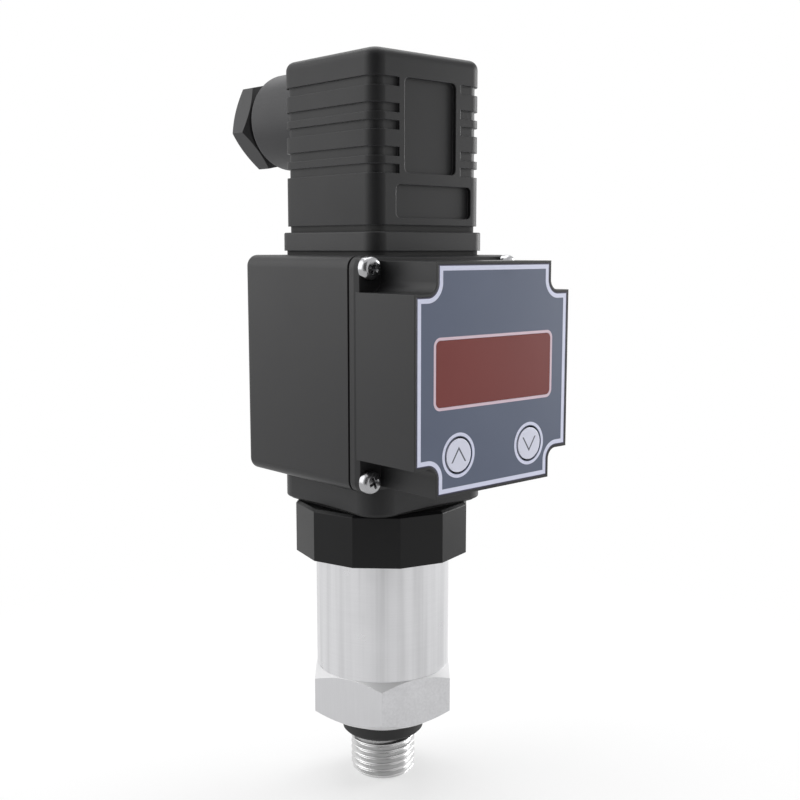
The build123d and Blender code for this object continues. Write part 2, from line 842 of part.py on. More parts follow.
# Lock nut that clamps the upper plug base from inside the housing
with BuildPart() as lock_nut:
    with BuildSketch(Plane.XY.offset(head_top - head_wall)):
        RegularPolygon(lock_nut_flats / 2, 6, major_radius=False)
        Circle(neck_dia / 2 + slip_gap, mode=Mode.SUBTRACT)
    extrude(amount=-lock_nut_height)
save(lock_nut, "lock_nut")

# Profiled gasket under the connector
flat_gasket(
    "connector_gasket",
    connector_width - 2 * gasket_inset,
    connector_corner,
    flange_top,
    connector_gasket_thickness,
)

# Connector housing: grooved square hood with two bare panels and the gland's collar
with BuildPart() as connector_housing:
    with BuildSketch(Plane.XY.offset(connector_bottom)):
        RectangleRounded(connector_width, connector_width, connector_corner)
    extrude(amount=connector_height)
    fillet(connector_housing.faces().sort_by(Axis.Z)[-1].edges(), connector_edge)
    groove_floor = connector_width - 2 * groove_depth
    for drop in groove_drops:
        with BuildSketch(Plane.XY.offset(connector_top - drop)):
            Rectangle(connector_width + cut_over, connector_width + cut_over)
            RectangleRounded(
                groove_floor, groove_floor, connector_corner - groove_depth, mode=Mode.SUBTRACT
            )
            Rectangle(2 * groove_end_x, connector_width + 2 * cut_over, mode=Mode.SUBTRACT)
        extrude(amount=-groove_height, mode=Mode.SUBTRACT)
    front_face = -connector_width / 2
    for width, height, drop, shift in (
        (panel_width, panel_height, panel_drop, 0),
        (plate_width, plate_height, plate_drop, plate_shift),
    ):
        middle = (shift, front_face, connector_top - drop - height / 2)
        with BuildSketch(Plane(origin=middle, x_dir=(1, 0, 0), z_dir=(0, -1, 0))):
            RectangleRounded(width, height, panel_corner)
        extrude(amount=-panel_depth, mode=Mode.SUBTRACT)
    collar_root = connector_width / 2 - connector_wall
    with BuildSketch(gland_plane(collar_root)):
        Circle(collar_dia / 2)
    extrude(amount=collar_reach - collar_root)
    mouth = connector_housing.faces().sort_by(Axis.Y)[-1].edges()
    fillet(mouth, collar_edge)
    inner_width = connector_width - 2 * connector_wall
    with BuildSketch(Plane.XY.offset(connector_bottom)):
        RectangleRounded(inner_width, inner_width, connector_inner_corner)
    extrude(amount=roof_bottom - connector_bottom, mode=Mode.SUBTRACT)
    with BuildSketch(Plane.XY.offset(block_top + part_gap)):
        Circle(column_dia / 2)
    extrude(amount=roof_bottom - block_top)
    with BuildSketch(Plane.XY.offset(block_top)):
        Circle(screw_dia / 2 + part_gap)
    extrude(amount=connector_height, mode=Mode.SUBTRACT)
    with BuildSketch(Plane.XY.offset(counterbore_floor)):
        Circle(screw_head_dia / 2 + part_gap)
    extrude(amount=counterbore_depth, mode=Mode.SUBTRACT)
    with BuildSketch(gland_plane(seat_y)):
        Circle(gland_thread_dia / 2 + slip_gap)
    extrude(amount=gland_depth, mode=Mode.SUBTRACT)
    with BuildSketch(gland_plane(collar_root)):
        Circle(cable_hole_dia / 2)
    extrude(amount=seat_y - collar_root, mode=Mode.SUBTRACT)
save(connector_housing, "connector_housing")

# Terminal block inside the connector
with BuildPart() as terminal_block:
    block_width = connector_width - 2 * connector_wall - 2 * part_gap
    with BuildSketch(Plane.XY.offset(connector_bottom)):
        RectangleRounded(block_width, block_width, connector_inner_corner)
    extrude(amount=block_height)
    with BuildSketch(Plane.XY.offset(connector_bottom)):
        with Locations(*blade_spots):
            Rectangle(pocket_width, pocket_depth)
    extrude(amount=blade_height + part_gap, mode=Mode.SUBTRACT)
    with BuildSketch(Plane.XY.offset(connector_bottom)):
        Circle(screw_dia / 2 + part_gap)
    extrude(amount=block_height, mode=Mode.SUBTRACT)
    with BuildSketch(Plane.XY.offset(block_top)):
        with Locations(*terminal_spots):
            Circle(terminal_screw_dia / 2 + slip_gap)
    extrude(amount=-terminal_screw_length - part_gap, mode=Mode.SUBTRACT)
save(terminal_block, "terminal_block")

spring_contacts("terminal_contacts", connector_bottom)

# Four slotted screws that clamp the cable's cores
with BuildPart() as terminal_screws:
    with BuildSketch(Plane.XY.offset(block_top)):
        with Locations(*terminal_spots):
            Circle(terminal_head_dia / 2)
    extrude(amount=terminal_head_height)
    with BuildSketch(Plane.XY.offset(block_top + terminal_head_height)):
        with Locations(*terminal_spots):
            Rectangle(terminal_head_dia, screw_slot)
    extrude(amount=-screw_slot_depth, mode=Mode.SUBTRACT)
    with BuildSketch(Plane.XY.offset(block_top)):
        with Locations(*terminal_spots):
            Circle(terminal_screw_dia / 2)
    extrude(amount=-terminal_screw_length)
save(terminal_screws, "terminal_screws")

# Soft washer under the long screw's head
with BuildPart() as screw_seal:
    with BuildSketch(Plane.XY.offset(counterbore_floor)):
        Circle(screw_head_dia / 2)
        Circle(screw_dia / 2 + slip_gap, mode=Mode.SUBTRACT)
    extrude(amount=screw_seal_height)
save(screw_seal, "screw_seal")

# Long screw that holds connector, display head and transmitter together
with BuildPart() as fixing_screw:
    with BuildSketch(Plane.XY.offset(screw_seat)):
        Circle(screw_head_dia / 2)
    extrude(amount=screw_head_height)
    with BuildSketch(Plane.XY.offset(screw_seat + screw_head_height)):
        Rectangle(screw_head_dia, screw_slot)
    extrude(amount=-screw_slot_depth, mode=Mode.SUBTRACT)
    screw_tip = base_top - insert_height + screw_end_room
    with BuildSketch(Plane.XY.offset(screw_tip)):
        Circle(screw_dia / 2)
    extrude(amount=screw_seat - screw_tip)
save(fixing_screw, "fixing_screw")

# Rubber cable seal on the seat inside the collar
with BuildPart() as gland_seal:
    with BuildSketch(gland_plane(seat_y)):
        Circle(gland_thread_dia / 2)
        Circle(gland_seal_bore / 2, mode=Mode.SUBTRACT)
    extrude(amount=gland_seal_length)
save(gland_seal, "gland_seal")

# Thrust ring between the seal and the hollow screw
with BuildPart() as thrust_ring:
    with BuildSketch(gland_plane(ring_y)):
        Circle(gland_thread_dia / 2 - slip_gap)
        Circle(ring_bore / 2, mode=Mode.SUBTRACT)
    extrude(amount=ring_height)
save(thrust_ring, "thrust_ring")

# Hollow hexagon-headed screw that squeezes the seal round the cable
with BuildPart() as gland_screw:
    with BuildSketch(gland_plane(nut_y)):
        RegularPolygon(nut_flats / 2, 6, major_radius=False, rotation=nut_turn)
    extrude(amount=nut_height)
    past_corner = nut_flats / 2 / cos(radians(30)) + cut_over
    bevel = (past_corner - nut_face_dia / 2) * tan(radians(chamfer_angle))
    with BuildSketch(gland_section):
        with BuildLine():
            Polyline(
                (nut_y, 0),
                (nut_y, nut_face_dia / 2),
                (nut_y + bevel, past_corner),
                (nut_y + nut_height - bevel, past_corner),
                (nut_y + nut_height, nut_face_dia / 2),
                (nut_y + nut_height, 0),
                close=True,
            )
        make_face()
    revolve(axis=gland_axis, mode=Mode.INTERSECT)
    with BuildSketch(gland_plane(screw_end_y)):
        Circle(gland_thread_dia / 2)
    extrude(amount=nut_y - screw_end_y)
    with BuildSketch(gland_plane(screw_end_y)):
        Circle(nut_bore / 2)
    extrude(amount=nut_y + nut_height - screw_end_y, mode=Mode.SUBTRACT)
save(gland_screw, "gland_screw")
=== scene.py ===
"""Looks, light and camera of a pressure transmitter with a display head and a cable plug.

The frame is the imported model's: +Z runs up the thread axis, the display faces -Y and the
cable gland points to +Y. Sizes in the classes are millimetres, and a mesh is brought to
metres where it becomes a piece.
"""

import json
import logging
import math
from dataclasses import dataclass
from enum import Enum

import bmesh
import bpy
from mathutils import Matrix, Vector

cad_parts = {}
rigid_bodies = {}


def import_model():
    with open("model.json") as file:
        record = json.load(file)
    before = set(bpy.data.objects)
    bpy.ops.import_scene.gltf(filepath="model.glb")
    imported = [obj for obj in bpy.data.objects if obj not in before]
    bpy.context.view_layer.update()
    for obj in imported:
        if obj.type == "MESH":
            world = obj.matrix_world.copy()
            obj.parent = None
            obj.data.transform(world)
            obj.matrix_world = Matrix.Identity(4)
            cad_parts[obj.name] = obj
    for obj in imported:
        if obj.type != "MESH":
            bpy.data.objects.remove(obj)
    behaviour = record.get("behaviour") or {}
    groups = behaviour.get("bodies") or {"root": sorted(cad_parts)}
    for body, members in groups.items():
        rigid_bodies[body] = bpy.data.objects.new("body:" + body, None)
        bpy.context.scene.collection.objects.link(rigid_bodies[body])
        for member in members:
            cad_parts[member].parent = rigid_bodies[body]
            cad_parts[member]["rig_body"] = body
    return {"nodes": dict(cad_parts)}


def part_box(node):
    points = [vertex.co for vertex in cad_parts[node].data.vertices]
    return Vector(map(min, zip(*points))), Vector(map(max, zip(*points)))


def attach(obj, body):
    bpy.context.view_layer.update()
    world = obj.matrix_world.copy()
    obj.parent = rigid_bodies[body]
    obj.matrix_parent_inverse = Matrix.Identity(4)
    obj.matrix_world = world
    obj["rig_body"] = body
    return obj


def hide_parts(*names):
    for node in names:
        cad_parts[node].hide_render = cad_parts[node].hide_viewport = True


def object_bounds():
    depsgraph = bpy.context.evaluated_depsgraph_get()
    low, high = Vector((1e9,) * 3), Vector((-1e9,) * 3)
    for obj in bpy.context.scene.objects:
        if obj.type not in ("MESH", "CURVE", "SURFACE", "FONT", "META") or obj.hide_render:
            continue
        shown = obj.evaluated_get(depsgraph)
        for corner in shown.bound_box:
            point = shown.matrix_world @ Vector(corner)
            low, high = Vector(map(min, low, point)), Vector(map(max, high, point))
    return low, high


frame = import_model()
cad_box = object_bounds()

MM = 0.001
FULL_TURN = 2 * math.pi
SHARP_ANGLE = math.radians(28)
MERGE_GAP = 0.001
CUT_GAP = MERGE_GAP / 10
SEAM_GAP = 0.01
UP = (0, 0, 1)
# The curve by which a screen turns a stored level into light: straight up to its start.
CURVE_START = 0.04045
CURVE_SLOPE = 12.92
CURVE_LIFT = 0.055
CURVE_POWER = 2.4

log = logging.getLogger("transmitter")

Colour = tuple[float, float, float, float]
Node = bpy.types.Node
NodeTree = bpy.types.NodeTree
Socket = bpy.types.NodeSocket
Value = float | tuple | Socket
BMesh = bmesh.types.BMesh
BMVert = bmesh.types.BMVert


def linear(share: float) -> float:
    """Turns one share of a screen colour into its share of linear light.

    Args:
        share: The screen colour's share, from 0 to 1.

    Returns:
        The linear share.
    """
    if share <= CURVE_START:
        return share / CURVE_SLOPE
    return ((share + CURVE_LIFT) / (1 + CURVE_LIFT)) ** CURVE_POWER


def tone(code: str) -> Colour:
    """Turns a colour as it shows on a screen into the linear colour that a shader takes.

    Args:
        code: Six hexadecimal digits, two for each of red, green and blue.

    Returns:
        Linear red, green and blue, with full opacity.
    """
    shares = [int(code[start : start + 2], 16) / 255 for start in (0, 2, 4)]
    return (*[linear(share) for share in shares], 1.0)


def lighter(colour: Colour, factor: float) -> Colour:
    """Scales a linear colour's brightness, keeping its opacity."""
    return (*[min(1.0, part * factor) for part in colour[:3]], 1.0)


def grey(level: float) -> Colour:
    """Returns an even grey of a linear brightness."""
    return (level, level, level, 1.0)


def in_mm(box: tuple[Vector, Vector]) -> tuple[Vector, Vector]:
    """Returns the lowest and the highest corner of a box in millimetres."""
    return box[0] / MM, box[1] / MM


class Graph:
    """Adds nodes to one shader node tree and joins their sockets."""

    def __init__(self, tree: NodeTree) -> None:
        """Keeps the tree that the nodes go into."""
        self.tree = tree

    def node(self, kind: str, inputs: dict, **settings: object) -> Node:
        """Adds one node.

        Args:
            kind: The node's type name.
            inputs: Sockets by name or number, each with a value or a socket to join.
            **settings: The node's own options.

        Returns:
            The new node.
        """
        made = self.tree.nodes.new(kind)
        for option, choice in settings.items():
            setattr(made, option, choice)
        self.feed(made, inputs)
        return made

    def feed(self, node: Node, inputs: dict) -> None:
        """Joins a node's sockets to others, or sets their own values.

        Args:
            node: The node.
            inputs: Sockets by name or number, each with a value or a socket to join.
        """
        for name, value in inputs.items():
            socket = node.inputs[name]
            if isinstance(value, Socket):
                self.tree.links.new(value, socket)
            else:
                socket.default_value = value

    def math(self, operation: str, *values: Value) -> Socket:
        """Adds a Math node and returns its result."""
        return self.node("ShaderNodeMath", dict(enumerate(values)), operation=operation).outputs[0]

    def vector_math(self, operation: str, *values: Value) -> Node:
        """Adds a Vector Math node and returns it."""
        return self.node("ShaderNodeVectorMath", dict(enumerate(values)), operation=operation)

    def scaled(self, vector: Value, factors: Value) -> Socket:
        """Multiplies a vector by another, part by part, and returns the result."""
        return self.vector_math("MULTIPLY", vector, factors).outputs[0]

    def place(self) -> Socket:
        """Returns the point on the object, in metres."""
        return self.node("ShaderNodeTexCoord", {}).outputs["Object"]

    def place_in_mm(self) -> tuple[Socket, ...]:
        """Returns the point's x, y and z on the object, in millimetres."""
        scaled = self.scaled(self.place(), (1 / MM,) * 3)
        return tuple(self.node("ShaderNodeSeparateXYZ", {0: scaled}).outputs)

    def face_normal(self) -> Socket:
        """Returns the surface's own normal."""
        return self.node("ShaderNodeNewGeometry", {}).outputs["Normal"]

    def noise(self, vector: Value, scale: Value, detail: float = 2.0) -> Socket:
        """Adds a noise texture and returns its value, about 0.5 on average."""
        inputs = {"Vector": vector, "Scale": scale, "Detail": detail}
        return self.node("ShaderNodeTexNoise", inputs).outputs[0]

    def blend(self, share: Value, first: Value, second: Value) -> Socket:
        """Mixes two colours by a share of the second, and returns the colour."""
        inputs = {0: share, 6: first, 7: second}
        return self.node("ShaderNodeMix", inputs, data_type="RGBA").outputs[2]

    def step(self, value: Value, edge: float, blur: float) -> Socket:
        """Returns a mask that rises from 0 to 1 where the value passes the edge."""
        inputs = {"Value": value, "From Min": edge - blur, "From Max": edge + blur}
        return self.node("ShaderNodeMapRange", inputs, interpolation_type="SMOOTHSTEP").outputs[0]

    def band(self, value: Value, start: float, end: float, blur: float) -> Socket:
        """Returns a mask that is 1 where the value lies between start and end."""
        return self.math("SUBTRACT", self.step(value, start, blur), self.step(value, end, blur))

    def length(self, x: Value, z: Value) -> Socket:
        """Returns the length of an arrow with these two parts."""
        squares = self.math("ADD", self.math("POWER", x, 2.0), self.math("POWER", z, 2.0))
        return self.math("SQRT", squares)

    def bump(self, height: Value, **inputs: Value) -> Socket:
        """Raises the surface in the shading and returns its normal."""
        return self.node("ShaderNodeBump", {"Height": height, **inputs}).outputs[0]

    def rounded_box(self, x: Value, z: Value, half: tuple[float, ...], radius: float) -> Socket:
        """Measures the distance from a rounded rectangle's outline.

        Args:
            x: Distance from its middle, across.
            z: Distance from its middle, upwards.
            half: Half its width and half its height.
            radius: Its corner radius.

        Returns:
            The distance, negative inside the rectangle.
        """
        past_x, past_z = (
            self.math("SUBTRACT", self.math("ABSOLUTE", part), side - radius)
            for part, side in zip((x, z), half)
        )
        outside = self.length(self.math("MAXIMUM", past_x, 0.0), self.math("MAXIMUM", past_z, 0.0))
        inside = self.math("MINIMUM", self.math("MAXIMUM", past_x, past_z), 0.0)
        return self.math("SUBTRACT", self.math("ADD", outside, inside), radius)

    def effect(self, effect: "Effect", **inputs: Value) -> Node:
        """Places a shared effect with this finish's own values, and returns its node."""
        return self.node("ShaderNodeGroup", inputs, node_tree=EFFECTS.tree(effect))

    def grain(self, size: float, depth: Value, normal: Value) -> Socket:
        """Places the moulded grain.

        Args:
            size: Size of the grain, in metres.
            depth: Height of the grain, in metres.
            normal: The normal under it.

        Returns:
            The grained normal.
        """
        grain = self.effect(Effect.GRAIN, Scale=1 / size, Depth=depth, Normal=normal)
        return grain.outputs["Normal"]

    def surface(self, shader: Node, colour: Value, roughness: Value, normal: Value) -> None:
        """Gives a shader its surface's colour, roughness and normal."""
        self.feed(shader, {"Base Color": colour, "Roughness": roughness, "Normal": normal})


class Effect(Enum):
    """The surface effects that several finishes share."""

    SOFT_EDGE = "soft_edge"
    GRAIN = "moulded_grain"
    MARKS = "tool_marks"
    SHEEN = "uneven_sheen"


class MarkDirection(Enum):
    """How tool marks lie on a metal face, as how closely they follow each other along x, y, z."""

    ROUND_Z = (0.02, 0.02, 1.0)
    ROUND_Y = (0.02, 1.0, 0.02)
    ALONG_Z = (1.0, 1.0, 0.02)
    NONE = (1.0, 1.0, 1.0)


@dataclass
class EffectLibrary:
    """Builds each shared node group the first time that a finish asks for it.

    Attributes:
        edge_samples: Number of rays that feel for an edge.
        edge_turn: How far the rounded normal turns in the middle of the edge mask.
        edge_blur: Softness of the edge mask.
        mark_detail: Fineness of the tool marks.
        sheen_detail: Fineness of the sheen.
    """

    edge_samples: int = 6
    edge_turn: float = 0.12
    edge_blur: float = 0.1
    mark_detail: float = 3.0
    sheen_detail: float = 4.0

    def tree(self, effect: Effect) -> NodeTree:
        """Finds an effect's node group, or builds it on its first use.

        Args:
            effect: The effect.

        Returns:
            Its node group.
        """
        builders = {
            Effect.SOFT_EDGE: self.soft_edge,
            Effect.GRAIN: self.grain,
            Effect.MARKS: self.marks,
            Effect.SHEEN: self.sheen,
        }
        return bpy.data.node_groups.get(effect.value) or builders[effect]()

    def start(
        self, effect: Effect, inputs: dict[str, str], outputs: dict[str, str]
    ) -> tuple[Graph, Node, Node]:
        """Starts a node group.

        Args:
            effect: The effect that it makes.
            inputs: Input sockets by name, each with its kind.
            outputs: Output sockets by name, each with its kind.

        Returns:
            The group's graph, its input node and its output node.
        """
        tree = bpy.data.node_groups.new(effect.value, "ShaderNodeTree")
        for in_out, sockets in (("INPUT", inputs), ("OUTPUT", outputs)):
            for label, kind in sockets.items():
                socket_type = f"NodeSocket{kind}"
                tree.interface.new_socket(name=label, in_out=in_out, socket_type=socket_type)
        graph = Graph(tree)
        return graph, graph.node("NodeGroupInput", {}), graph.node("NodeGroupOutput", {})

    def soft_edge(self) -> NodeTree:
        """Rounds sharp edges in the shading, and masks where they are.

        Returns:
            The node group.
        """
        graph, given, out = self.start(
            Effect.SOFT_EDGE, {"Radius": "Float"}, {"Normal": "Vector", "Mask": "Float"}
        )
        inputs = {"Radius": given.outputs["Radius"]}
        rounded = graph.node("ShaderNodeBevel", inputs, samples=self.edge_samples).outputs[0]
        match = graph.vector_math("DOT_PRODUCT", rounded, graph.face_normal())
        turned = graph.math("SUBTRACT", 1.0, match.outputs["Value"])
        mask = graph.step(turned, self.edge_turn, self.edge_blur)
        graph.feed(out, {"Normal": rounded, "Mask": mask})
        return graph.tree

    def grain(self) -> NodeTree:
        """Makes fine moulded grain, as a normal and a mask of its high spots.

        Returns:
            The node group.
        """
        graph, given, out = self.start(
            Effect.GRAIN,
            {"Scale": "Float", "Depth": "Float", "Normal": "Vector"},
            {"Normal": "Vector", "Mask": "Float"},
        )
        height = graph.noise(graph.place(), given.outputs["Scale"])
        return self.relief(graph, given, out, height)

    def marks(self) -> NodeTree:
        """Makes turning or drawing marks, as a normal and a mask of the marks.

        Returns:
            The node group.
        """
        graph, given, out = self.start(
            Effect.MARKS,
            {"Spacing": "Vector", "Depth": "Float", "Normal": "Vector"},
            {"Normal": "Vector", "Mask": "Float"},
        )
        stretched = graph.scaled(graph.place(), given.outputs["Spacing"])
        height = graph.noise(stretched, 1.0, self.mark_detail)
        return self.relief(graph, given, out, height)

    def relief(self, graph: Graph, given: Node, out: Node, height: Socket) -> NodeTree:
        """Ends a group whose height gives its normal and its mask.

        Args:
            graph: The group's graph.
            given: Its input node.
            out: Its output node.
            height: The height over the surface.

        Returns:
            The node group.
        """
        depth, under = given.outputs["Depth"], given.outputs["Normal"]
        normal = graph.bump(height, Distance=depth, Normal=under)
        graph.feed(out, {"Normal": normal, "Mask": height})
        return graph.tree

    def sheen(self) -> NodeTree:
        """Makes a roughness that drifts over the surface, and a mask of the drift.

        Returns:
            The node group.
        """
        graph, given, out = self.start(
            Effect.SHEEN,
            {"Middle": "Float", "Spread": "Float", "Scale": "Float"},
            {"Roughness": "Float", "Mask": "Float"},
        )
        drift = graph.noise(graph.place(), given.outputs["Scale"], self.sheen_detail)
        centred = graph.math("SUBTRACT", drift, 0.5)
        spread = graph.math("MULTIPLY", centred, given.outputs["Spread"])
        roughness = graph.math("ADD", spread, given.outputs["Middle"])
        graph.feed(out, {"Roughness": roughness, "Mask": drift})
        return graph.tree


EFFECTS = EffectLibrary()


def new_material(name: str) -> tuple[bpy.types.Material, Graph, Node]:
    """Starts a material.

    Args:
        name: The material's name.

    Returns:
        The material, its graph and its shader.
    """
    made = bpy.data.materials.new(name)
    made.use_nodes = True
    return made, Graph(made.node_tree), made.node_tree.nodes["Principled BSDF"]


@dataclass(frozen=True)
class Finish:
    """A surface finish, which makes its material once.

    Attributes:
        name: The material's name.
        colour: Screen colour of the surface.
        roughness: Middle roughness.
        specular: Strength of the surface reflection.
    """

    name: str
    colour: str = "808080"
    roughness: float = 0.4
    specular: float = 0.5

    def paint(self, graph: Graph, shader: Node) -> None:
        """Fills in the material; each kind of finish has its own way."""
        raise NotImplementedError

    def material(self) -> bpy.types.Material:
        """Finds the finish's material, or makes it on its first use.

        Returns:
            The material.
        """
        found = bpy.data.materials.get(self.name)
        if found:
            return found
        made, graph, shader = new_material(self.name)
        shader.inputs["Specular IOR Level"].default_value = self.specular
        self.paint(graph, shader)
        return made


@dataclass(frozen=True)
class DriftingFinish(Finish):
    """A finish whose sheen and tone drift over the surface.

    Attributes:
        spread: How far the roughness drifts.
        patch: Size of the patches in which the sheen drifts.
        tones: Darkest and lightest share of the colour.
    """

    spread: float = 0.12
    patch: float = 9
    tones: tuple[float, float] = (0.9, 1.12)

    def sheen(self, graph: Graph) -> Node:
        """Places the drifting sheen with this finish's values."""
        scale = 1 / (self.patch * MM)
        return graph.effect(Effect.SHEEN, Middle=self.roughness, Spread=self.spread, Scale=scale)

    def toned(self, graph: Graph, share: Value) -> Socket:
        """Mixes the darkest and the lightest tone by a share of the latter."""
        dark, light = (lighter(tone(self.colour), factor) for factor in self.tones)
        return graph.blend(share, dark, light)


@dataclass(frozen=True)
class MouldedPlastic(DriftingFinish):
    """A moulded skin of plastic or rubber, with fine grain, softened edges and a painted highlight
    along the edges.

    Attributes:
        grain_size: Size of the grain.
        grain_depth: Height of the grain.
        edge_radius: How far edges are rounded in the shading.
        edge_highlight: How much lighter the painted highlight on an edge is than the face.
        edge_highlight_share: Share of that painted highlight on the sharpest edges.
        coarse_from: Depth along +Y past which the skin is coarse, or None for an even skin.
        coarse_blur: Half the length over which it turns coarse.
        coarse_depth: Height that the coarse grain adds, in heights of the fine grain.
        coarse_lift: How much lighter the coarse skin is.
    """

    colour: str = "252526"
    roughness: float = 0.42
    specular: float = 0.25
    grain_size: float = 0.22
    grain_depth: float = 0.006
    edge_radius: float = 0.14
    edge_highlight: float = 1.9
    edge_highlight_share: float = 0.5
    coarse_from: float | None = None
    coarse_blur: float = 0.2
    coarse_depth: float = 6
    coarse_lift: float = 2.8

    def paint(self, graph: Graph, shader: Node) -> None:
        """Mixes colour, roughness and normal from the shared effects.

        Args:
            graph: The material's graph.
            shader: Its shader.
        """
        edge = graph.effect(Effect.SOFT_EDGE, Radius=self.edge_radius * MM)
        sheen = self.sheen(graph)
        depth: Value = self.grain_depth * MM
        coarse: Value = 0.0
        if self.coarse_from is not None:
            y = graph.place_in_mm()[1]
            coarse = graph.step(y, self.coarse_from, self.coarse_blur)
            added = graph.math("MULTIPLY", coarse, self.coarse_depth * depth)
            depth = graph.math("ADD", added, depth)
        normal = graph.grain(self.grain_size * MM, depth, edge.outputs["Normal"])
        colour = tone(self.colour)
        drifted = self.toned(graph, sheen.outputs["Mask"])
        skin = graph.blend(coarse, drifted, lighter(colour, self.coarse_lift))
        # Edges are painted lighter: a painted highlight for the light that they catch.
        painted_highlight = graph.math("MULTIPLY", edge.outputs["Mask"], self.edge_highlight_share)
        final = graph.blend(painted_highlight, skin, lighter(colour, self.edge_highlight))
        graph.surface(shader, final, sheen.outputs["Roughness"], normal)


@dataclass(frozen=True)
class Metal(DriftingFinish):
    """A turned, drawn or plated metal, whose tones follow its tool marks.

    Attributes:
        direction: How the tool marks lie.
        mark_spacing: Distance from one mark to the next.
        mark_depth: Depth of the marks.
        edge_radius: How far edges are rounded in the shading.
        dull_share: Share of the dull tone where the sheen's patches are strongest.
        dull_tone: Brightness of the dull tone.
        painted_reflection: Strength of the soft darker upright bands, painted reflections on the
            metal.
        reflection_spacing: Distance from one painted reflection band to the next.
        reflection_edge: Noise level at which a painted reflection band begins, and its softness.
        reflection_tone: Brightness of a painted reflection band.
        metallic: Share of the surface that reflects as bare metal.
    """

    colour: str = "c4c4c6"
    roughness: float = 0.3
    patch: float = 5
    tones: tuple[float, float] = (0.88, 1.12)
    direction: MarkDirection = MarkDirection.ROUND_Z
    mark_spacing: float = 0.12
    mark_depth: float = 0.002
    edge_radius: float = 0.08
    dull_share: float = 0.3
    dull_tone: float = 0.85
    painted_reflection: float = 0.0
    reflection_spacing: float = 2.4
    reflection_edge: tuple[float, float] = (0.5, 0.15)
    reflection_tone: float = 0.6
    metallic: float = 1.0

    def paint(self, graph: Graph, shader: Node) -> None:
        """Lays tool marks and painted darker reflection bands over the metal's drifting sheen.

        Args:
            graph: The material's graph.
            shader: Its shader.
        """
        edge = graph.effect(Effect.SOFT_EDGE, Radius=self.edge_radius * MM)
        marks, painted_reflection = (
            graph.effect(
                Effect.MARKS,
                Spacing=tuple(part / (spacing * MM) for part in direction.value),
                Depth=depth * MM,
                Normal=edge.outputs["Normal"],
            )
            for direction, spacing, depth in (
                (self.direction, self.mark_spacing, self.mark_depth),
                (MarkDirection.ALONG_Z, self.reflection_spacing, 0.0),
            )
        )
        sheen = self.sheen(graph)
        colour = tone(self.colour)
        dull = graph.math("MULTIPLY", sheen.outputs["Mask"], self.dull_share)
        marked = self.toned(graph, marks.outputs["Mask"])
        drifted = graph.blend(dull, marked, lighter(colour, self.dull_tone))
        # Darker upright bands, painted reflections of the surroundings on the steel.
        reflection_mask = graph.step(painted_reflection.outputs["Mask"], *self.reflection_edge)
        share = graph.math("MULTIPLY", reflection_mask, self.painted_reflection)
        final = graph.blend(share, drifted, lighter(colour, self.reflection_tone))
        graph.surface(shader, final, sheen.outputs["Roughness"], marks.outputs["Normal"])
        shader.inputs["Metallic"].default_value = self.metallic


@dataclass(frozen=True)
class BoardLacquer(Finish):
    """Green lacquer over the tracks of a circuit board.

    Attributes:
        track_colour: Screen colour where a track lies under it.
        track_spacing: Distance from one track to the next.
        track_height: How far a track stands out.
        track_edge: Level of the wave at which a track begins, and the track's softness.
        wander: How far the tracks wander.
        wander_detail: Fineness of their wandering.
    """

    colour: str = "1d5a35"
    roughness: float = 0.32
    track_colour: str = "2f7a48"
    track_spacing: float = 1.6
    track_height: float = 0.03
    track_edge: tuple[float, float] = (0.7, 0.05)
    wander: float = 4.0
    wander_detail: float = 1.0

    def paint(self, graph: Graph, shader: Node) -> None:
        """Draws the tracks as raised lines under the lacquer.

        Args:
            graph: The material's graph.
            shader: Its shader.
        """
        inputs = {
            "Vector": graph.place(),
            "Scale": 1 / (self.track_spacing * MM),
            "Distortion": self.wander,
            "Detail": self.wander_detail,
        }
        wave = graph.node("ShaderNodeTexWave", inputs, wave_profile="SIN")
        track = graph.step(wave.outputs["Fac"], *self.track_edge)
        final = graph.blend(track, tone(self.colour), tone(self.track_colour))
        normal = graph.bump(track, Distance=self.track_height * MM)
        graph.surface(shader, final, self.roughness, normal)


@dataclass(frozen=True)
class TintedWindow(DriftingFinish):
    """The red filter in front of the display, with a soft gloss.

    Attributes:
        grain_size: Size of the grain of its face.
        grain_depth: Height of the grain.
        coat: Strength of its clear face.
        coat_roughness: Roughness of the clear face.
    """

    colour: str = "742822"
    roughness: float = 0.3
    specular: float = 0.3
    spread: float = 0.06
    patch: float = 14
    tones: tuple[float, float] = (0.92, 1.08)
    grain_size: float = 0.3
    grain_depth: float = 0.001
    coat: float = 0.12
    coat_roughness: float = 0.2

    def paint(self, graph: Graph, shader: Node) -> None:
        """Gives the filter a faint cloudiness under a clear face.

        Args:
            graph: The material's graph.
            shader: Its shader.
        """
        sheen = self.sheen(graph)
        cloudy = self.toned(graph, sheen.outputs["Mask"])
        normal = graph.grain(self.grain_size * MM, self.grain_depth * MM, graph.face_normal())
        graph.surface(shader, cloudy, sheen.outputs["Roughness"], normal)
        shader.inputs["Coat Weight"].default_value = self.coat
        shader.inputs["Coat Roughness"].default_value = self.coat_roughness


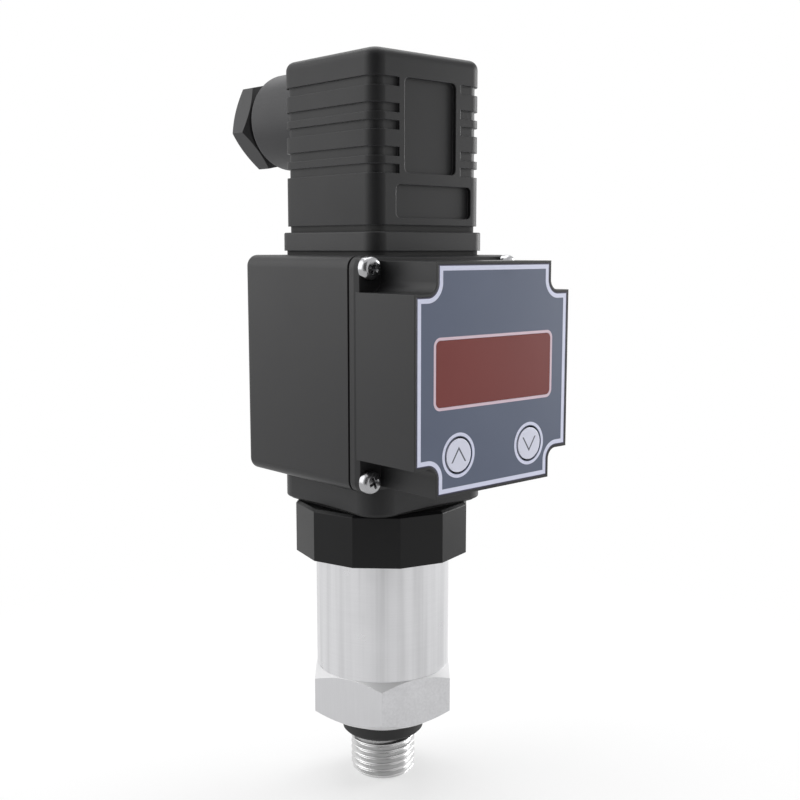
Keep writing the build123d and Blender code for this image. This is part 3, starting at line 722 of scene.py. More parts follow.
@dataclass(frozen=True)
class PrintedFilm(DriftingFinish):
    """The slate front film, printed with a light border, a window frame and two rings.

    Attributes:
        border: Screen colour of the border and the rings.
        frame: Screen colour of the line round the window.
        outline: Screen colour of the thin line outside the border.
        outline_width: Width of that thin line.
        border_width: Width of the light border.
        frame_width: Width of the line round the window.
        film_inset: How far the film's edge lies inside the raised front's outline.
        notch: Half width and half height of the corner notches in that outline.
        notch_radius: Corner radius of the notches.
        window_ledge: How far the window's hidden flange stands past its hole.
        window_corner: Corner radius of the window.
        ring: Inner and outer radius of the rings round the buttons.
        blur: Softness of the print's edges.
        grain_size: Size of the film's grain.
        grain_depth: Height of the grain.
    """

    colour: str = "565f74"
    roughness: float = 0.34
    specular: float = 0.35
    spread: float = 0.08
    patch: float = 16
    tones: tuple[float, float] = (0.94, 1.06)
    border: str = "d9dcf1"
    frame: str = "dbc3cf"
    outline: str = "3c3a52"
    outline_width: float = 0.2
    border_width: float = 0.8
    frame_width: float = 0.52
    film_inset: float = 0.5
    notch: tuple[float, float] = (5.1, 5.45)
    notch_radius: float = 2.0
    window_ledge: float = 1.3
    window_corner: float = 1.0
    ring: tuple[float, float] = (3.42, 4.0)
    blur: float = 0.035
    grain_size: float = 0.18
    grain_depth: float = 0.002

    def edge_distance(self, graph: Graph, x: Socket, z: Socket) -> Socket:
        """Measures how far a point of the film lies inside its notched outline.

        Args:
            graph: The material's graph.
            x: The point's place across, in millimetres.
            z: The point's height, in millimetres.

        Returns:
            The distance in millimetres.
        """
        low, high = in_mm(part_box("front_label"))
        half = (high - low) / 2
        across = graph.math("ABSOLUTE", x)
        upward = graph.math("ABSOLUTE", graph.math("SUBTRACT", z, (low.z + high.z) / 2))
        from_side = graph.math("SUBTRACT", half.x, across)
        from_top = graph.math("SUBTRACT", half.z, upward)
        from_notch = graph.rounded_box(
            graph.math("SUBTRACT", across, half.x + self.film_inset),
            graph.math("SUBTRACT", upward, half.z + self.film_inset),
            tuple(side + self.film_inset for side in self.notch),
            self.notch_radius + self.film_inset,
        )
        return graph.math("MINIMUM", graph.math("MINIMUM", from_side, from_top), from_notch)

    def window_frame(self, graph: Graph, x: Socket, z: Socket) -> Socket:
        """Masks the line round the window.

        Args:
            graph: The material's graph.
            x: The point's place across, in millimetres.
            z: The point's height, in millimetres.

        Returns:
            The mask.
        """
        low, high = in_mm(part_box("display_window"))
        half = (high - low) / 2
        sides = (half.x - self.window_ledge, half.z - self.window_ledge)
        height = graph.math("SUBTRACT", z, (low.z + high.z) / 2)
        distance = graph.rounded_box(x, height, sides, self.window_corner)
        return graph.step(graph.math("SUBTRACT", self.frame_width, distance), 0.0, self.blur)

    def rings(self, graph: Graph, x: Socket, z: Socket) -> Socket:
        """Masks the two rings round the buttons, from the places of the buttons.

        Args:
            graph: The material's graph.
            x: The point's place across, in millimetres.
            z: The point's height, in millimetres.

        Returns:
            The mask.
        """
        mask: Value = 0.0
        for node in ("up_button", "down_button"):
            low, high = in_mm(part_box(node))
            middle = (low + high) / 2
            dx = graph.math("SUBTRACT", x, middle.x)
            dz = graph.math("SUBTRACT", z, middle.z)
            ring = graph.band(graph.length(dx, dz), *self.ring, self.blur)
            mask = graph.math("MAXIMUM", mask, ring)
        return mask

    def paint(self, graph: Graph, shader: Node) -> None:
        """Prints border, outline, window frame and rings on the satin film.

        Args:
            graph: The material's graph.
            shader: Its shader.
        """
        x, _, z = graph.place_in_mm()
        inside = self.edge_distance(graph, x, z)
        border_end = self.outline_width + self.border_width
        border = graph.band(inside, self.outline_width, border_end, self.blur)
        outline = graph.math("SUBTRACT", 1.0, graph.step(inside, self.outline_width, self.blur))
        light = graph.math("MAXIMUM", border, self.rings(graph, x, z))
        sheen = self.sheen(graph)
        slate = self.toned(graph, sheen.outputs["Mask"])
        framed = graph.blend(self.window_frame(graph, x, z), slate, tone(self.frame))
        printed = graph.blend(light, framed, tone(self.border))
        final = graph.blend(outline, printed, tone(self.outline))
        normal = graph.grain(self.grain_size * MM, self.grain_depth * MM, graph.face_normal())
        graph.surface(shader, final, sheen.outputs["Roughness"], normal)


class Pointing(Enum):
    """Which way a button's printed arrow points."""

    UP = 1.0
    DOWN = -1.0


@dataclass(frozen=True)
class ButtonCap(DriftingFinish):
    """A light button with a thin arrow head printed on its cap.

    Attributes:
        node: The button's CAD node.
        pointing: Which way the arrow points.
        arrow_colour: Screen colour of the arrow.
        arrow_width: Width of the arrow head.
        arrow_height: Height of the arrow head.
        line: Width of its line.
        blur: Softness of the print's edge.
        edge_radius: How far the cap's edge is rounded in the shading.
    """

    colour: str = "dadcec"
    roughness: float = 0.36
    spread: float = 0.08
    patch: float = 6
    tones: tuple[float, float] = (0.96, 1.04)
    node: str = "up_button"
    pointing: Pointing = Pointing.UP
    arrow_colour: str = "4a4c5c"
    arrow_width: float = 3.3
    arrow_height: float = 2.5
    line: float = 0.3
    blur: float = 0.04
    edge_radius: float = 0.12

    def arrow(self, graph: Graph) -> Socket:
        """Masks the arrow head's two strokes, the same on both sides of its middle.

        Args:
            graph: The material's graph.

        Returns:
            The mask.
        """
        low, high = in_mm(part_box(self.node))
        middle = (low + high) / 2
        x, _, z = graph.place_in_mm()
        across = graph.math("ABSOLUTE", graph.math("SUBTRACT", x, middle.x))
        height = graph.math("SUBTRACT", z, middle.z)
        along = graph.math("MULTIPLY", height, self.pointing.value)
        below_tip = graph.math("SUBTRACT", along, self.arrow_height / 2)
        length = math.hypot(self.arrow_width / 2, self.arrow_height)
        first = graph.math("MULTIPLY", across, self.arrow_height / length)
        second = graph.math("MULTIPLY", below_tip, self.arrow_width / 2 / length)
        distance = graph.math("ABSOLUTE", graph.math("ADD", first, second))
        stroke = graph.math("SUBTRACT", 1.0, graph.step(distance, self.line / 2, self.blur))
        above_end = graph.step(along, -self.arrow_height / 2, self.blur)
        return graph.math("MULTIPLY", stroke, above_end)

    def paint(self, graph: Graph, shader: Node) -> None:
        """Prints the arrow on the satin cap.

        Args:
            graph: The material's graph.
            shader: Its shader.
        """
        edge = graph.effect(Effect.SOFT_EDGE, Radius=self.edge_radius * MM)
        sheen = self.sheen(graph)
        drifted = self.toned(graph, sheen.outputs["Mask"])
        final = graph.blend(self.arrow(graph), drifted, tone(self.arrow_colour))
        graph.surface(shader, final, sheen.outputs["Roughness"], edge.outputs["Normal"])


HOUSING_BLACK = MouldedPlastic("housing_black")
# The plug's edges carry a strong painted highlight.
PLUG_BLACK = MouldedPlastic(
    "plug_black",
    colour="1e1e1f",
    roughness=0.46,
    edge_radius=0.2,
    edge_highlight=9,
    specular=0.22,
    coarse_from=14.1,
)
BASE_BLACK = MouldedPlastic(
    "base_black", colour="131314", roughness=0.3, spread=0.06, specular=0.2
)
GLAND_BLACK = MouldedPlastic("gland_black", colour="303031", roughness=0.44)
SEAL_RUBBER = MouldedPlastic(
    "seal_rubber", colour="1c1c1c", roughness=0.6, grain_size=0.12, edge_highlight=1.4
)
CHIP_PLASTIC = MouldedPlastic("chip_plastic", colour="232325", roughness=0.55)
INSULATION = MouldedPlastic("insulation", colour="cfc8b8", roughness=0.5)
MODULE_FACE = MouldedPlastic("module_face", colour="3a3434", roughness=0.25)
TURNED_STEEL = Metal("turned_steel")
# The tube's steel carries the painted darker reflection bands.
TUBE_STEEL = Metal(
    "tube_steel",
    colour="d4d4d6",
    tones=(0.95, 1.05),
    mark_spacing=0.18,
    mark_depth=0.0008,
    painted_reflection=0.4,
)
DRAWN_STEEL = Metal(
    "drawn_steel",
    colour="cbcbcd",
    roughness=0.36,
    spread=0.3,
    tones=(0.94, 1.06),
    direction=MarkDirection.ALONG_Z,
    mark_depth=0.0015,
)
# A lighter, partly non-metallic copy of the turned steel, painted bright for the light that the
# chamfers catch.
PAINTED_BRIGHT_CHAMFER = Metal(
    "painted_bright_chamfer",
    colour="dededf",
    roughness=0.5,
    tones=(0.96, 1.04),
    mark_depth=0.001,
    metallic=0.4,
)
SAWN_STEEL = Metal(
    "sawn_steel",
    colour="cbcbcd",
    roughness=0.42,
    spread=0.5,
    tones=(0.84, 1.16),
    direction=MarkDirection.NONE,
    mark_spacing=0.5,
    mark_depth=0.012,
)
CUT_THREAD = Metal("cut_thread", colour="d0d0d0", roughness=0.28, mark_spacing=0.08)
PLATED_SCREW = Metal(
    "plated_screw", colour="a6a6a8", roughness=0.24, direction=MarkDirection.ROUND_Y
)
ZINC_SCREW = Metal("zinc_screw", colour="b8b8b4", roughness=0.34)
CONTACT_BRASS = Metal("contact_brass", colour="c9a861", direction=MarkDirection.ALONG_Z)


def dress(finish: Finish, *nodes: str) -> None:
    """Gives CAD nodes their finish.

    Args:
        finish: The finish that they share.
        *nodes: The nodes' names.
    """
    for name in nodes:
        piece = frame["nodes"][name]
        for slot in piece.material_slots:
            slot.material = finish.material()
        log.info("%s is finished in %s", name, finish.name)


def link(name: str, data: bpy.types.ID) -> bpy.types.Object:
    """Puts a mesh, a lamp or a camera into the scene as an object.

    Args:
        name: The object's name.
        data: What the object shows.

    Returns:
        The object.
    """
    made = bpy.data.objects.new(name, data)
    bpy.context.scene.collection.objects.link(made)
    return made


def mesh_of(name: str, bm: BMesh) -> bpy.types.Mesh:
    """Turns a finished bmesh into a mesh, and frees it.

    Args:
        name: The mesh's name.
        bm: The bmesh.

    Returns:
        The mesh.
    """
    mesh = bpy.data.meshes.new(name)
    bm.to_mesh(mesh)
    bm.free()
    return mesh


def take_in(bm: BMesh, other: BMesh) -> None:
    """Adds a second bmesh to the first, and frees it.

    Args:
        bm: The bmesh that grows.
        other: The one that it takes in.
    """
    passing = mesh_of("passing", other)
    bm.from_mesh(passing)
    bpy.data.meshes.remove(passing)


def verts_of(items: list) -> list[BMVert]:
    """Returns the vertices among the items that an operator made."""
    return [item for item in items if isinstance(item, BMVert)]


def copy_of(node: str) -> BMesh:
    """Copies a CAD node's mesh, with its loose triangles merged.

    Args:
        node: The node's name.

    Returns:
        The copy, in millimetres.
    """
    bm = bmesh.new()
    bm.from_mesh(frame["nodes"][node].data)
    bmesh.ops.scale(bm, vec=(1 / MM,) * 3, verts=bm.verts)
    bmesh.ops.remove_doubles(bm, verts=bm.verts, dist=MERGE_GAP)
    return bm


def make_piece(name: str, bm: BMesh, finishes: list[Finish], stands_for: str) -> None:
    """Turns a finished mesh into a piece that stands for a CAD node and rides on its body.

    Args:
        name: The piece's name.
        bm: Its mesh in millimetres, in the row frame.
        finishes: Its finishes, in the order of the faces' material numbers.
        stands_for: The CAD node that it replaces.
    """
    bmesh.ops.scale(bm, vec=(MM,) * 3, verts=bm.verts)
    mesh = mesh_of(name, bm)
    # A copied node brings the normals of its plain shape, which would shade the new one wrongly.
    plain_normals = mesh.attributes.get("custom_normal")
    if plain_normals:
        mesh.attributes.remove(plain_normals)
    for finish in finishes:
        mesh.materials.append(finish.material())
    mesh.shade_smooth()
    mesh.set_sharp_from_angle(angle=SHARP_ANGLE)
    piece = link(name, mesh)
    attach(piece, frame["nodes"][stands_for]["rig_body"])
    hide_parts(stands_for)
    log.info("%s stands for %s with %d faces", name, stands_for, len(mesh.polygons))


def spin(bm: BMesh, geom: list, angle: float, steps: int, **options: object) -> None:
    """Sweeps vertices and edges about the Z axis.

    Args:
        bm: The mesh.
        geom: The vertices and edges.
        angle: The angle that they sweep.
        steps: Number of steps in that angle.
        **options: Whether the ends merge, and how far each step rises.
    """
    axis = {"cent": (0, 0, 0), "axis": UP}
    bmesh.ops.spin(bm, geom=geom, angle=angle, steps=steps, **axis, **options)


def spun(bm: BMesh, profile: list[tuple[float, float]], steps: int) -> None:
    """Turns a profile once about the Z axis.

    Args:
        bm: The mesh that it goes into.
        profile: Radius and height of each point.
        steps: Number of facets round the axis.
    """
    before = set(bm.verts)
    verts = [bm.verts.new((radius, 0, height)) for radius, height in profile]
    edges = [bm.edges.new(pair) for pair in zip(verts, verts[1:])]
    spin(bm, verts + edges, FULL_TURN, steps, use_merge=True)
    made = [vert for vert in bm.verts if vert not in before]
    bmesh.ops.remove_doubles(bm, verts=made, dist=MERGE_GAP)


def cut(
    bm: BMesh, place: Value | Vector, normal: Value | Vector, geom: list | None = None, **clear: bool
) -> None:
    """Cuts a mesh at a plane.

    Args:
        bm: The mesh.
        place: A point of the plane.
        normal: The plane's normal.
        geom: The faces to cut, with their edges and vertices, or None for all.
        **clear: The side that falls away, if one does.
    """
    bmesh.ops.bisect_plane(
        bm,
        geom=geom or bm.verts[:] + bm.edges[:] + bm.faces[:],
        dist=CUT_GAP,
        plane_co=place,
        plane_no=normal,
        **clear,
    )


def open_loop(bm: BMesh, height: float) -> list[bmesh.types.BMEdge]:
    """Finds the open edges that lie at a height.

    Args:
        bm: The mesh.
        height: The height.

    Returns:
        The edges.
    """
    return [
        edge
        for edge in bm.edges
        if edge.is_boundary and all(abs(vert.co.z - height) < MERGE_GAP for vert in edge.verts)
    ]


@dataclass(frozen=True)
class ThreadForm:
    """A rounded V thread on a turned end whose tip points down the Z axis.

    Attributes:
        radius: Radius over the crests.
        depth: Height of a crest above its root.
        pitch: Rise in one turn.
        top: Height where the thread begins.
        tip: Height of the end face.
        chamfer: Chamfer at the tip.
        neck_radius: Radius of the plain neck above the thread.
        neck_top: Height of the neck's upper end.
        seam: Height at which the plain end is cut off.
        steps: Facets round the axis.
        flat: Half the width of a crest or root, as a share of the pitch.
        rounding: Share of that half width that is rounded away.
        round_steps: Facets along each rounding.
        spare_turns: Turns made past each end before the thread is trimmed.
    """

    radius: float
    depth: float
    pitch: float
    top: float
    tip: float
    chamfer: float
    neck_radius: float
    neck_top: float
    seam: float
    steps: int = 96
    flat: float = 1 / 12
    rounding: float = 0.95
    round_steps: int = 3
    spare_turns: int = 2

    def profile(self, bm: BMesh) -> list:
        """Draws enough teeth along the axis, with rounded crests and roots.

        Args:
            bm: The empty mesh that they go into.

        Returns:
            The profile's vertices and edges.
        """
        flat = self.pitch * self.flat
        spare = self.spare_turns * self.pitch
        height = self.tip - spare
        points = []
        while height < self.top + spare:
            root = height + self.pitch / 2
            points += [(self.radius, height - flat), (self.radius, height + flat)]
            points += [(self.radius - self.depth, root - flat)]
            points += [(self.radius - self.depth, root + flat)]
            height += self.pitch
        verts = [bm.verts.new((radius, 0, z)) for radius, z in points]
        for pair in zip(verts, verts[1:]):
            bm.edges.new(pair)
        bmesh.ops.bevel(
            bm,
            geom=verts[1:-1],
            offset=flat * self.rounding,
            segments=self.round_steps,
            profile=0.5,
            affect="VERTICES",
            material=-1,
        )
        return bm.verts[:] + bm.edges[:]

    def helix(self) -> BMesh:
        """Turns the profile once round while it rises by one pitch, and trims it to length.

        Returns:
            The thread's skin, open at both ends.
        """
        bm = bmesh.new()
        rise = (0, 0, self.pitch / self.steps)
        spin(bm, self.profile(bm), FULL_TURN, self.steps, dvec=rise, use_merge=False)
        bmesh.ops.remove_doubles(bm, verts=bm.verts, dist=SEAM_GAP)
        cut(bm, (0, 0, self.tip), UP, clear_inner=True)
        cut(bm, (0, 0, self.top), UP, clear_outer=True)
        self.trim_tip(bm)
        return bm

    def trim_tip(self, bm: BMesh) -> None:
        """Draws the crests in to the chamfer at the tip.

        Args:
            bm: The thread's mesh.
        """
        for vert in bm.verts:
            allowed = self.radius - self.chamfer + vert.co.z - self.tip
            reach = vert.co.xy.length
            if reach > allowed:
                vert.co.xy *= allowed / reach

    def cut_on(self, bm: BMesh, bore_radius: float) -> None:
        """Replaces a plain end by the thread, and joins it to the rest.

        Args:
            bm: The plain part, closed, with its axis on Z and its tip downwards.
            bore_radius: Radius of the hole through the end.
        """
        cut(bm, (0, 0, self.seam), UP, clear_inner=True)
        rim = open_loop(bm, self.seam)
        middle = (bore_radius + self.neck_radius) / 2
        bore = [edge for edge in rim if edge.verts[0].co.xy.length < middle]
        outside = [edge for edge in rim if edge not in bore]
        wall = bmesh.ops.extrude_edge_only(bm, edges=bore)["geom"]
        for vert in verts_of(wall):
            vert.co.z = self.tip
        thread = self.helix()
        neck = bmesh.ops.extrude_edge_only(thread, edges=open_loop(thread, self.top))["geom"]
        for vert in verts_of(neck):
            vert.co.xy = vert.co.xy.normalized() * self.neck_radius
            vert.co.z = self.neck_top
        take_in(bm, thread)
        bmesh.ops.bridge_loops(bm, edges=outside + open_loop(bm, self.neck_top))
        bmesh.ops.triangle_fill(bm, edges=open_loop(bm, self.tip), use_beauty=True)
        bmesh.ops.recalc_face_normals(bm, faces=bm.faces)


@dataclass
class ProcessEnd:
    """The steel end: threaded stud, seal ring, wrench hexagon, body tube and the sensor inside.

    Attributes:
        pitch: Pitch of the pipe thread.
        thread_depth: Depth of the pipe thread.
        thread_radius: Radius over its crests.
        tip_chamfer: Chamfer at its tip.
        port_radius: Radius of the pressure port.
        neck_radius: Radius of the seal ring's groove.
        run_out: Length of the plain neck under the seal ring.
        facet_reach: Distance from the axis past which an upright face belongs to the hexagon.
        upright_slope: Vertical part of a face's normal below which the face is upright.
        level_slope: Vertical part of a face's normal above which the face is level.
        sawn_facing: Part along +Y of a face's normal below which a facet is the sawn one.
    """

    pitch: float = 1.337
    thread_depth: float = 0.856
    thread_radius: float = 6.5785
    tip_chamfer: float = 1.0
    port_radius: float = 1.8
    neck_radius: float = 5.75
    run_out: float = 0.45
    facet_reach: float = 12.8
    upright_slope: float = 0.1
    level_slope: float = 0.98
    sawn_facing: float = -0.9

    def build(self) -> None:
        """Makes the threaded fitting and finishes the other parts of this end."""
        self.fitting()
        dress(TUBE_STEEL, "body_tube")
        dress(SEAL_RUBBER, "seal_ring", "sensor_o_ring")
        dress(TURNED_STEEL, "sensor_capsule")
        dress(CONTACT_BRASS, "sensor_retainer")
        dress(INSULATION, "board_support_ring", "spacer_sleeve")
        dress(BoardLacquer("amplifier_lacquer"), "amplifier_board")
        dress(CHIP_PLASTIC, "amplifier_chips")

    def fitting(self) -> None:
        """Cuts the pipe thread on a copy of the process fitting."""
        bm = copy_of("process_fitting")
        tip = min(vert.co.z for vert in bm.verts)
        thread = ThreadForm(
            radius=self.thread_radius,
            depth=self.thread_depth,
            pitch=self.pitch,
            top=-self.run_out,
            tip=tip,
            chamfer=self.tip_chamfer,
            neck_radius=self.neck_radius,
            neck_top=0.0,
            seam=self.run_out,
        )
        thread.cut_on(bm, self.port_radius)
        finishes = [TURNED_STEEL, DRAWN_STEEL, CUT_THREAD, PAINTED_BRIGHT_CHAMFER, SAWN_STEEL]
        for face in bm.faces:
            face.material_index = finishes.index(self.face_finish(face))
        make_piece("threaded_fitting", bm, finishes, "process_fitting")

    def face_finish(self, face: bmesh.types.BMFace) -> Metal:
        """Chooses the finish of one of the fitting's faces.

        Args:
            face: The face.

        Returns:
            Its finish.
        """
        middle = face.calc_center_median()
        slope = abs(face.normal.z)
        if middle.z < 0:
            return CUT_THREAD
        if slope < self.upright_slope and middle.xy.length > self.facet_reach:
            return SAWN_STEEL if face.normal.y < self.sawn_facing else DRAWN_STEEL
        # Sloped faces get the steel copy that is painted bright for the light they catch.
        if self.upright_slope <= slope < self.level_slope:
            return PAINTED_BRIGHT_CHAMFER
        return TURNED_STEEL


@dataclass
class PlugBase:
    """The twelve-sided base on the tube, with its contacts and the insert for the long screw."""

    def build(self) -> None:
        """Finishes the base and what it holds."""
        dress(BASE_BLACK, "plug_base")
        dress(CONTACT_BRASS, "base_blades", "base_insert")
        dress(INSULATION, "base_leads")
        dress(SEAL_RUBBER, "head_gasket")


@dataclass
class PanHeadScrew:
    """A pan-head screw with a cross recess, standing on Z = 0 with its head upwards.

    Attributes:
        head_radius: Radius of the head.
        head_height: Height of the head.
        head_edge: Radius of the head's rounded edge.
        shank_radius: Radius of the shank.
        arm: Reach of the recess's arms from the middle.
        arm_half_width: Half the width of an arm.
        recess_depth: Depth of the recess.
        taper: Width of the recess's floor as a share of its mouth.
        point: Radius of the shank's point as a share of the shank's.
        edge_points: Points along the head's rounded edge.
        steps: Facets round the screw.
    """

    head_radius: float = 2.2
    head_height: float = 1.7
    head_edge: float = 1.0
    shank_radius: float = 1.2
    arm: float = 1.1
    arm_half_width: float = 0.27
    recess_depth: float = 0.95
    taper: float = 0.45
    point: float = 1 / 3
    edge_points: int = 7
    steps: int = 48

    def build(self, length: float) -> BMesh:
        """Makes one screw.

        Args:
            length: Length of the shank below the head.

        Returns:
            The closed mesh, in millimetres.
        """
        bm = bmesh.new()
        flat = self.head_radius - self.head_edge
        shoulder = self.head_height - self.head_edge
        angles = [math.pi / 2 * (1 - n / (self.edge_points - 1)) for n in range(self.edge_points)]
        rounded = [
            (flat + self.head_edge * math.cos(a), shoulder + self.head_edge * math.sin(a))
            for a in angles
        ]
        point = self.shank_radius * self.point
        lower = [(self.head_radius, 0), (self.shank_radius, 0)]
        lower += [(self.shank_radius, 2 * point - length), (point, -length), (0, -length)]
        spun(bm, rounded + lower, self.steps)
        bmesh.ops.edgeloop_fill(bm, edges=open_loop(bm, self.head_height))
        self.recess(bm)
        bmesh.ops.recalc_face_normals(bm, faces=bm.faces)
        return bm

    def top_faces(self, bm: BMesh) -> list[bmesh.types.BMFace]:
        """Finds the faces of the head's flat top.

        Args:
            bm: The screw's mesh.

        Returns:
            The faces.
        """
        return [
            face
            for face in bm.faces
            if all(abs(vert.co.z - self.head_height) < MERGE_GAP for vert in face.verts)
        ]

    def recess(self, bm: BMesh) -> None:
        """Scores the cross in the head's top and sinks it with tapering walls.

        Args:
            bm: The screw's mesh.
        """
        distances = (-self.arm_half_width, self.arm_half_width, -self.arm, self.arm)
        for axis in (Vector((1, 0, 0)), Vector((0, 1, 0))):
            for distance in distances:
                faces = self.top_faces(bm)
                edges = dict.fromkeys(edge for face in faces for edge in face.edges)
                verts = dict.fromkeys(vert for face in faces for vert in face.verts)
                cut(bm, axis * distance, axis, [*faces, *edges, *verts])
        cross = []
        for face in self.top_faces(bm):
            middle = face.calc_center_median()
            wide, narrow = sorted((abs(middle.x), abs(middle.y)), reverse=True)
            if narrow < self.arm_half_width and wide < self.arm:
                cross.append(face)
        verts = verts_of(bmesh.ops.extrude_face_region(bm, geom=cross)["geom"])
        bmesh.ops.delete(bm, geom=[face for face in cross if face.is_valid], context="FACES_ONLY")
        bmesh.ops.scale(bm, vec=(self.taper, self.taper, 1), verts=verts)
        bmesh.ops.translate(bm, vec=(0, 0, -self.recess_depth), verts=verts)


@dataclass
class DisplayHead:
    """The square head: housing, cover, film, window, buttons, screws and its inner parts.

    Attributes:
        screw: The cover screws' form.
        screw_turns: How far each screw's recess is turned, in degrees.
    """

    screw: PanHeadScrew
    screw_turns: tuple[float, ...] = (20, 65, 38, 8)

    def build(self) -> None:
        """Makes the cover screws and finishes the head's other parts."""
        self.cover_screws()
        dress(HOUSING_BLACK, "head_rear_housing", "front_cover", "head_socket", "lock_nut")
        dress(SEAL_RUBBER, "cover_gasket")
        dress(PrintedFilm("printed_film"), "front_label")
        dress(TintedWindow("tinted_window"), "display_window")
        dress(ButtonCap("up_cap"), "up_button")
        dress(ButtonCap("down_cap", node="down_button", pointing=Pointing.DOWN), "down_button")
        dress(MODULE_FACE, "led_display")
        dress(BoardLacquer("display_lacquer"), "display_board")
        dress(CHIP_PLASTIC, "display_chips", "up_switch", "down_switch")
        dress(CHIP_PLASTIC, "up_plunger", "down_plunger")
        dress(ZINC_SCREW, "board_screws")
        dress(CONTACT_BRASS, "socket_contacts")
        dress(INSULATION, "head_leads", "guide_tube")

    def cover_screws(self) -> None:
        """Sets a pan-head screw at each corner, where the plain ones stand."""
        low, high = in_mm(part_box("cover_screws"))
        step = low.y + self.screw.head_height
        inset = self.screw.head_radius
        rows = (low.z + inset, high.z - inset)
        spots = [(x, z) for x in (low.x + inset, high.x - inset) for z in rows]
        upright = Matrix.Rotation(math.pi / 2, 4, "X")
        together = bmesh.new()
        for (x, z), turn in zip(spots, self.screw_turns):
            one = self.screw.build(high.y - step)
            turned = Matrix.Rotation(math.radians(turn), 4, "Z")
            one.transform(Matrix.Translation((x, step, z)) @ upright @ turned)
            take_in(together, one)
        make_piece("pan_head_screws", together, [PLATED_SCREW], "cover_screws")


@dataclass
class CablePlug:
    """The plug on top: flange, gaskets, grooved housing, terminals and the cable gland.

    Attributes:
        pitch: Pitch of the gland's thread.
        thread_depth: Depth of the gland's thread.
        thread_radius: Radius over its crests.
        tip_chamfer: Chamfer at its inner end.
        bore_radius: Radius of the hole through the gland screw.
        head_depth: Depth of the gland screw's hexagon.
        run_out: Length of the plain neck under the hexagon.
    """

    pitch: float = 1.411
    thread_depth: float = 0.75
    thread_radius: float = 7.6
    tip_chamfer: float = 0.6
    bore_radius: float = 4.8
    head_depth: float = 5.5
    run_out: float = 0.3

    def build(self) -> None:
        """Makes the threaded gland screw and finishes the plug's other parts."""
        self.gland_screw()
        dress(HOUSING_BLACK, "top_plug_base")
        dress(PLUG_BLACK, "connector_housing")
        dress(CHIP_PLASTIC, "terminal_block", "thrust_ring")
        dress(SEAL_RUBBER, "flange_gasket", "connector_gasket", "screw_seal", "gland_seal")
        dress(CONTACT_BRASS, "top_blades", "terminal_contacts")
        dress(ZINC_SCREW, "terminal_screws", "fixing_screw")

    def gland_screw(self) -> None:
        """Cuts the gland's thread on a copy of the gland screw."""
        low, high = in_mm(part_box("gland_screw"))
        axis_height = (low.z + high.z) / 2
        upright = Matrix.Rotation(math.pi / 2, 4, "X") @ Matrix.Translation((0, 0, -axis_height))
        face = high.y - self.head_depth
        bm = copy_of("gland_screw")
        bm.transform(upright)
        thread = ThreadForm(
            radius=self.thread_radius,
            depth=self.thread_depth,
            pitch=self.pitch,
            top=face - 3 * self.run_out,
            tip=low.y,
            chamfer=self.tip_chamfer,
            neck_radius=self.thread_radius - self.thread_depth,
            neck_top=face - 2 * self.run_out,
            seam=face - self.run_out,
        )
        thread.cut_on(bm, self.bore_radius)
        bm.transform(upright.inverted())
        make_piece("threaded_gland_screw", bm, [GLAND_BLACK], "gland_screw")


@dataclass(frozen=True)
class Softbox:
    """A square soft lamp that points at the object.

    Attributes:
        name: The lamp's name.
        azimuth: Where it stands, in degrees, 0 in front of the display and 90 to its right.
        elevation: Its height above the horizon, in degrees.
        distance: Its distance from the object's middle.
        side: Length of its side.
        power: Its power in watts.
    """

    name: str
    azimuth: float
    elevation: float
    distance: float
    side: float
    power: float


